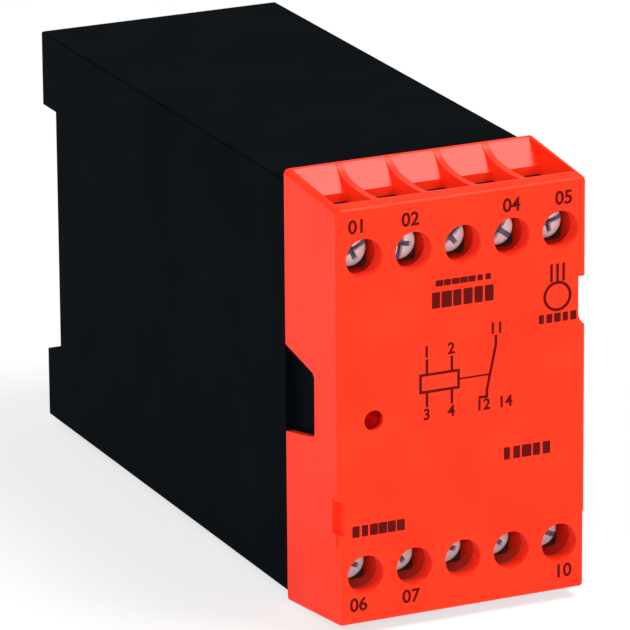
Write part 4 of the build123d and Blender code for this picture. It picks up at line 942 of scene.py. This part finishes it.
printed_pieces = [front_print()]
bars = bar_row_shape()
ROWS = {
    "upper_row": dict(Count=7, Bar_length=1.25, Bar_height=1.0, Step=1.45, Seed=3, x=-4.2, rise=20.7),
    "broad_row": dict(Count=6, Bar_length=1.6, Bar_height=2.7, Step=1.9, Seed=5, x=-4.8, rise=17.9),
    "small_row": dict(Count=5, Bar_length=1.2, Bar_height=1.5, Step=1.45, Seed=2, x=14.1, rise=12.0),
    "right_row": dict(Count=5, Bar_length=1.5, Bar_height=2.1, Step=1.8, Seed=8, x=7.9, rise=-9.9),
    "left_row": dict(Count=6, Bar_length=1.35, Bar_height=1.9, Step=1.6, Seed=11, x=-19.2, rise=-19.2),
}
for name, row in ROWS.items():
    sizes = {key: row[key] * MM for key in ("Bar_length", "Bar_height", "Step")}
    place = tuple(printed(row["x"], row["rise"]))
    printed_pieces.append(bars.build(name, Count=row["Count"], Seed=row["Seed"], Place=place, **sizes))
for piece in printed_pieces:
    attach(piece, "base")


# Floor, lamps and sky
FLOOR_SIZE = 30.0
FLOOR_SHADE = 0.88
SHADOW_SHARE = 0.32
SKY_STRENGTH = 0.4


def pale_floor():
    """White to the camera, apart from a soft share of the object's shadow."""
    mesh = bpy.data.meshes.new("floor")
    half = FLOOR_SIZE / 2
    corners = [(-half, -half, 0), (half, -half, 0), (half, half, 0), (-half, half, 0)]
    mesh.from_pydata(corners, [], [(0, 1, 2, 3)])
    material = bpy.data.materials.new("pale_floor")
    material.use_nodes = True
    graph = Graph(material.node_tree)
    shader = graph.tree.nodes["Principled BSDF"]
    shader.inputs["Base Color"].default_value = (FLOOR_SHADE, FLOOR_SHADE, FLOOR_SHADE, 1)
    shader.inputs["Roughness"].default_value = 0.9
    shader.inputs["Specular IOR Level"].default_value = 0.0
    white = graph.node("ShaderNodeEmission", {}, {"Color": (1, 1, 1, 1), "Strength": 1.0})
    seen = graph.node("ShaderNodeLightPath", out="Is Camera Ray")
    mirrored = graph.node("ShaderNodeLightPath", out="Is Glossy Ray")
    blend = graph.node("ShaderNodeMixShader", {}, {0: (1 - SHADOW_SHARE) * (seen + mirrored)})
    mixer = blend.socket.node
    graph.tree.links.new(shader.outputs[0], mixer.inputs[1])
    graph.tree.links.new(white.socket, mixer.inputs[2])
    graph.tree.links.new(blend.socket, graph.tree.nodes["Material Output"].inputs["Surface"])
    mesh.materials.append(material)
    floor = bpy.data.objects.new("floor", mesh)
    scene.collection.objects.link(floor)
    return floor


def lamp(name, azimuth, elevation, distance, size, power):
    """A square soft lamp aimed at the object. Azimuth 0 is in front of it, 90 to its right."""
    data = bpy.data.lights.new(name, "AREA")
    data.size, data.energy = size, power
    made = bpy.data.objects.new(name, data)
    scene.collection.objects.link(made)
    a, e = math.radians(azimuth), math.radians(elevation)
    away = Vector((math.sin(a) * math.cos(e), -math.cos(a) * math.cos(e), math.sin(e)))
    aim = away.to_track_quat("Z", "Y").to_matrix().to_4x4()
    made.matrix_world = Matrix.Translation(Vector((0, 0, MID)) + distance * away) @ aim


def sky():
    world = bpy.data.worlds.new("studio")
    world.use_nodes = True
    graph = Graph(world.node_tree)
    background = graph.tree.nodes["Background"]
    ray = graph.node("ShaderNodeLightPath", out="Is Camera Ray")
    background.inputs["Color"].default_value = (1, 1, 1, 1)
    strength = SKY_STRENGTH + (1 - SKY_STRENGTH) * ray
    graph.tree.links.new(strength.socket, background.inputs["Strength"])
    scene.world = world


pale_floor()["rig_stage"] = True
lamp("key", azimuth=-24, elevation=18, distance=1.3, size=0.3, power=6.2)
lamp("left", azimuth=-85, elevation=35, distance=1.3, size=0.8, power=6.0)
lamp("softbox", azimuth=52, elevation=60, distance=1.2, size=0.5, power=13.0)
sky()

low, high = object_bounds()
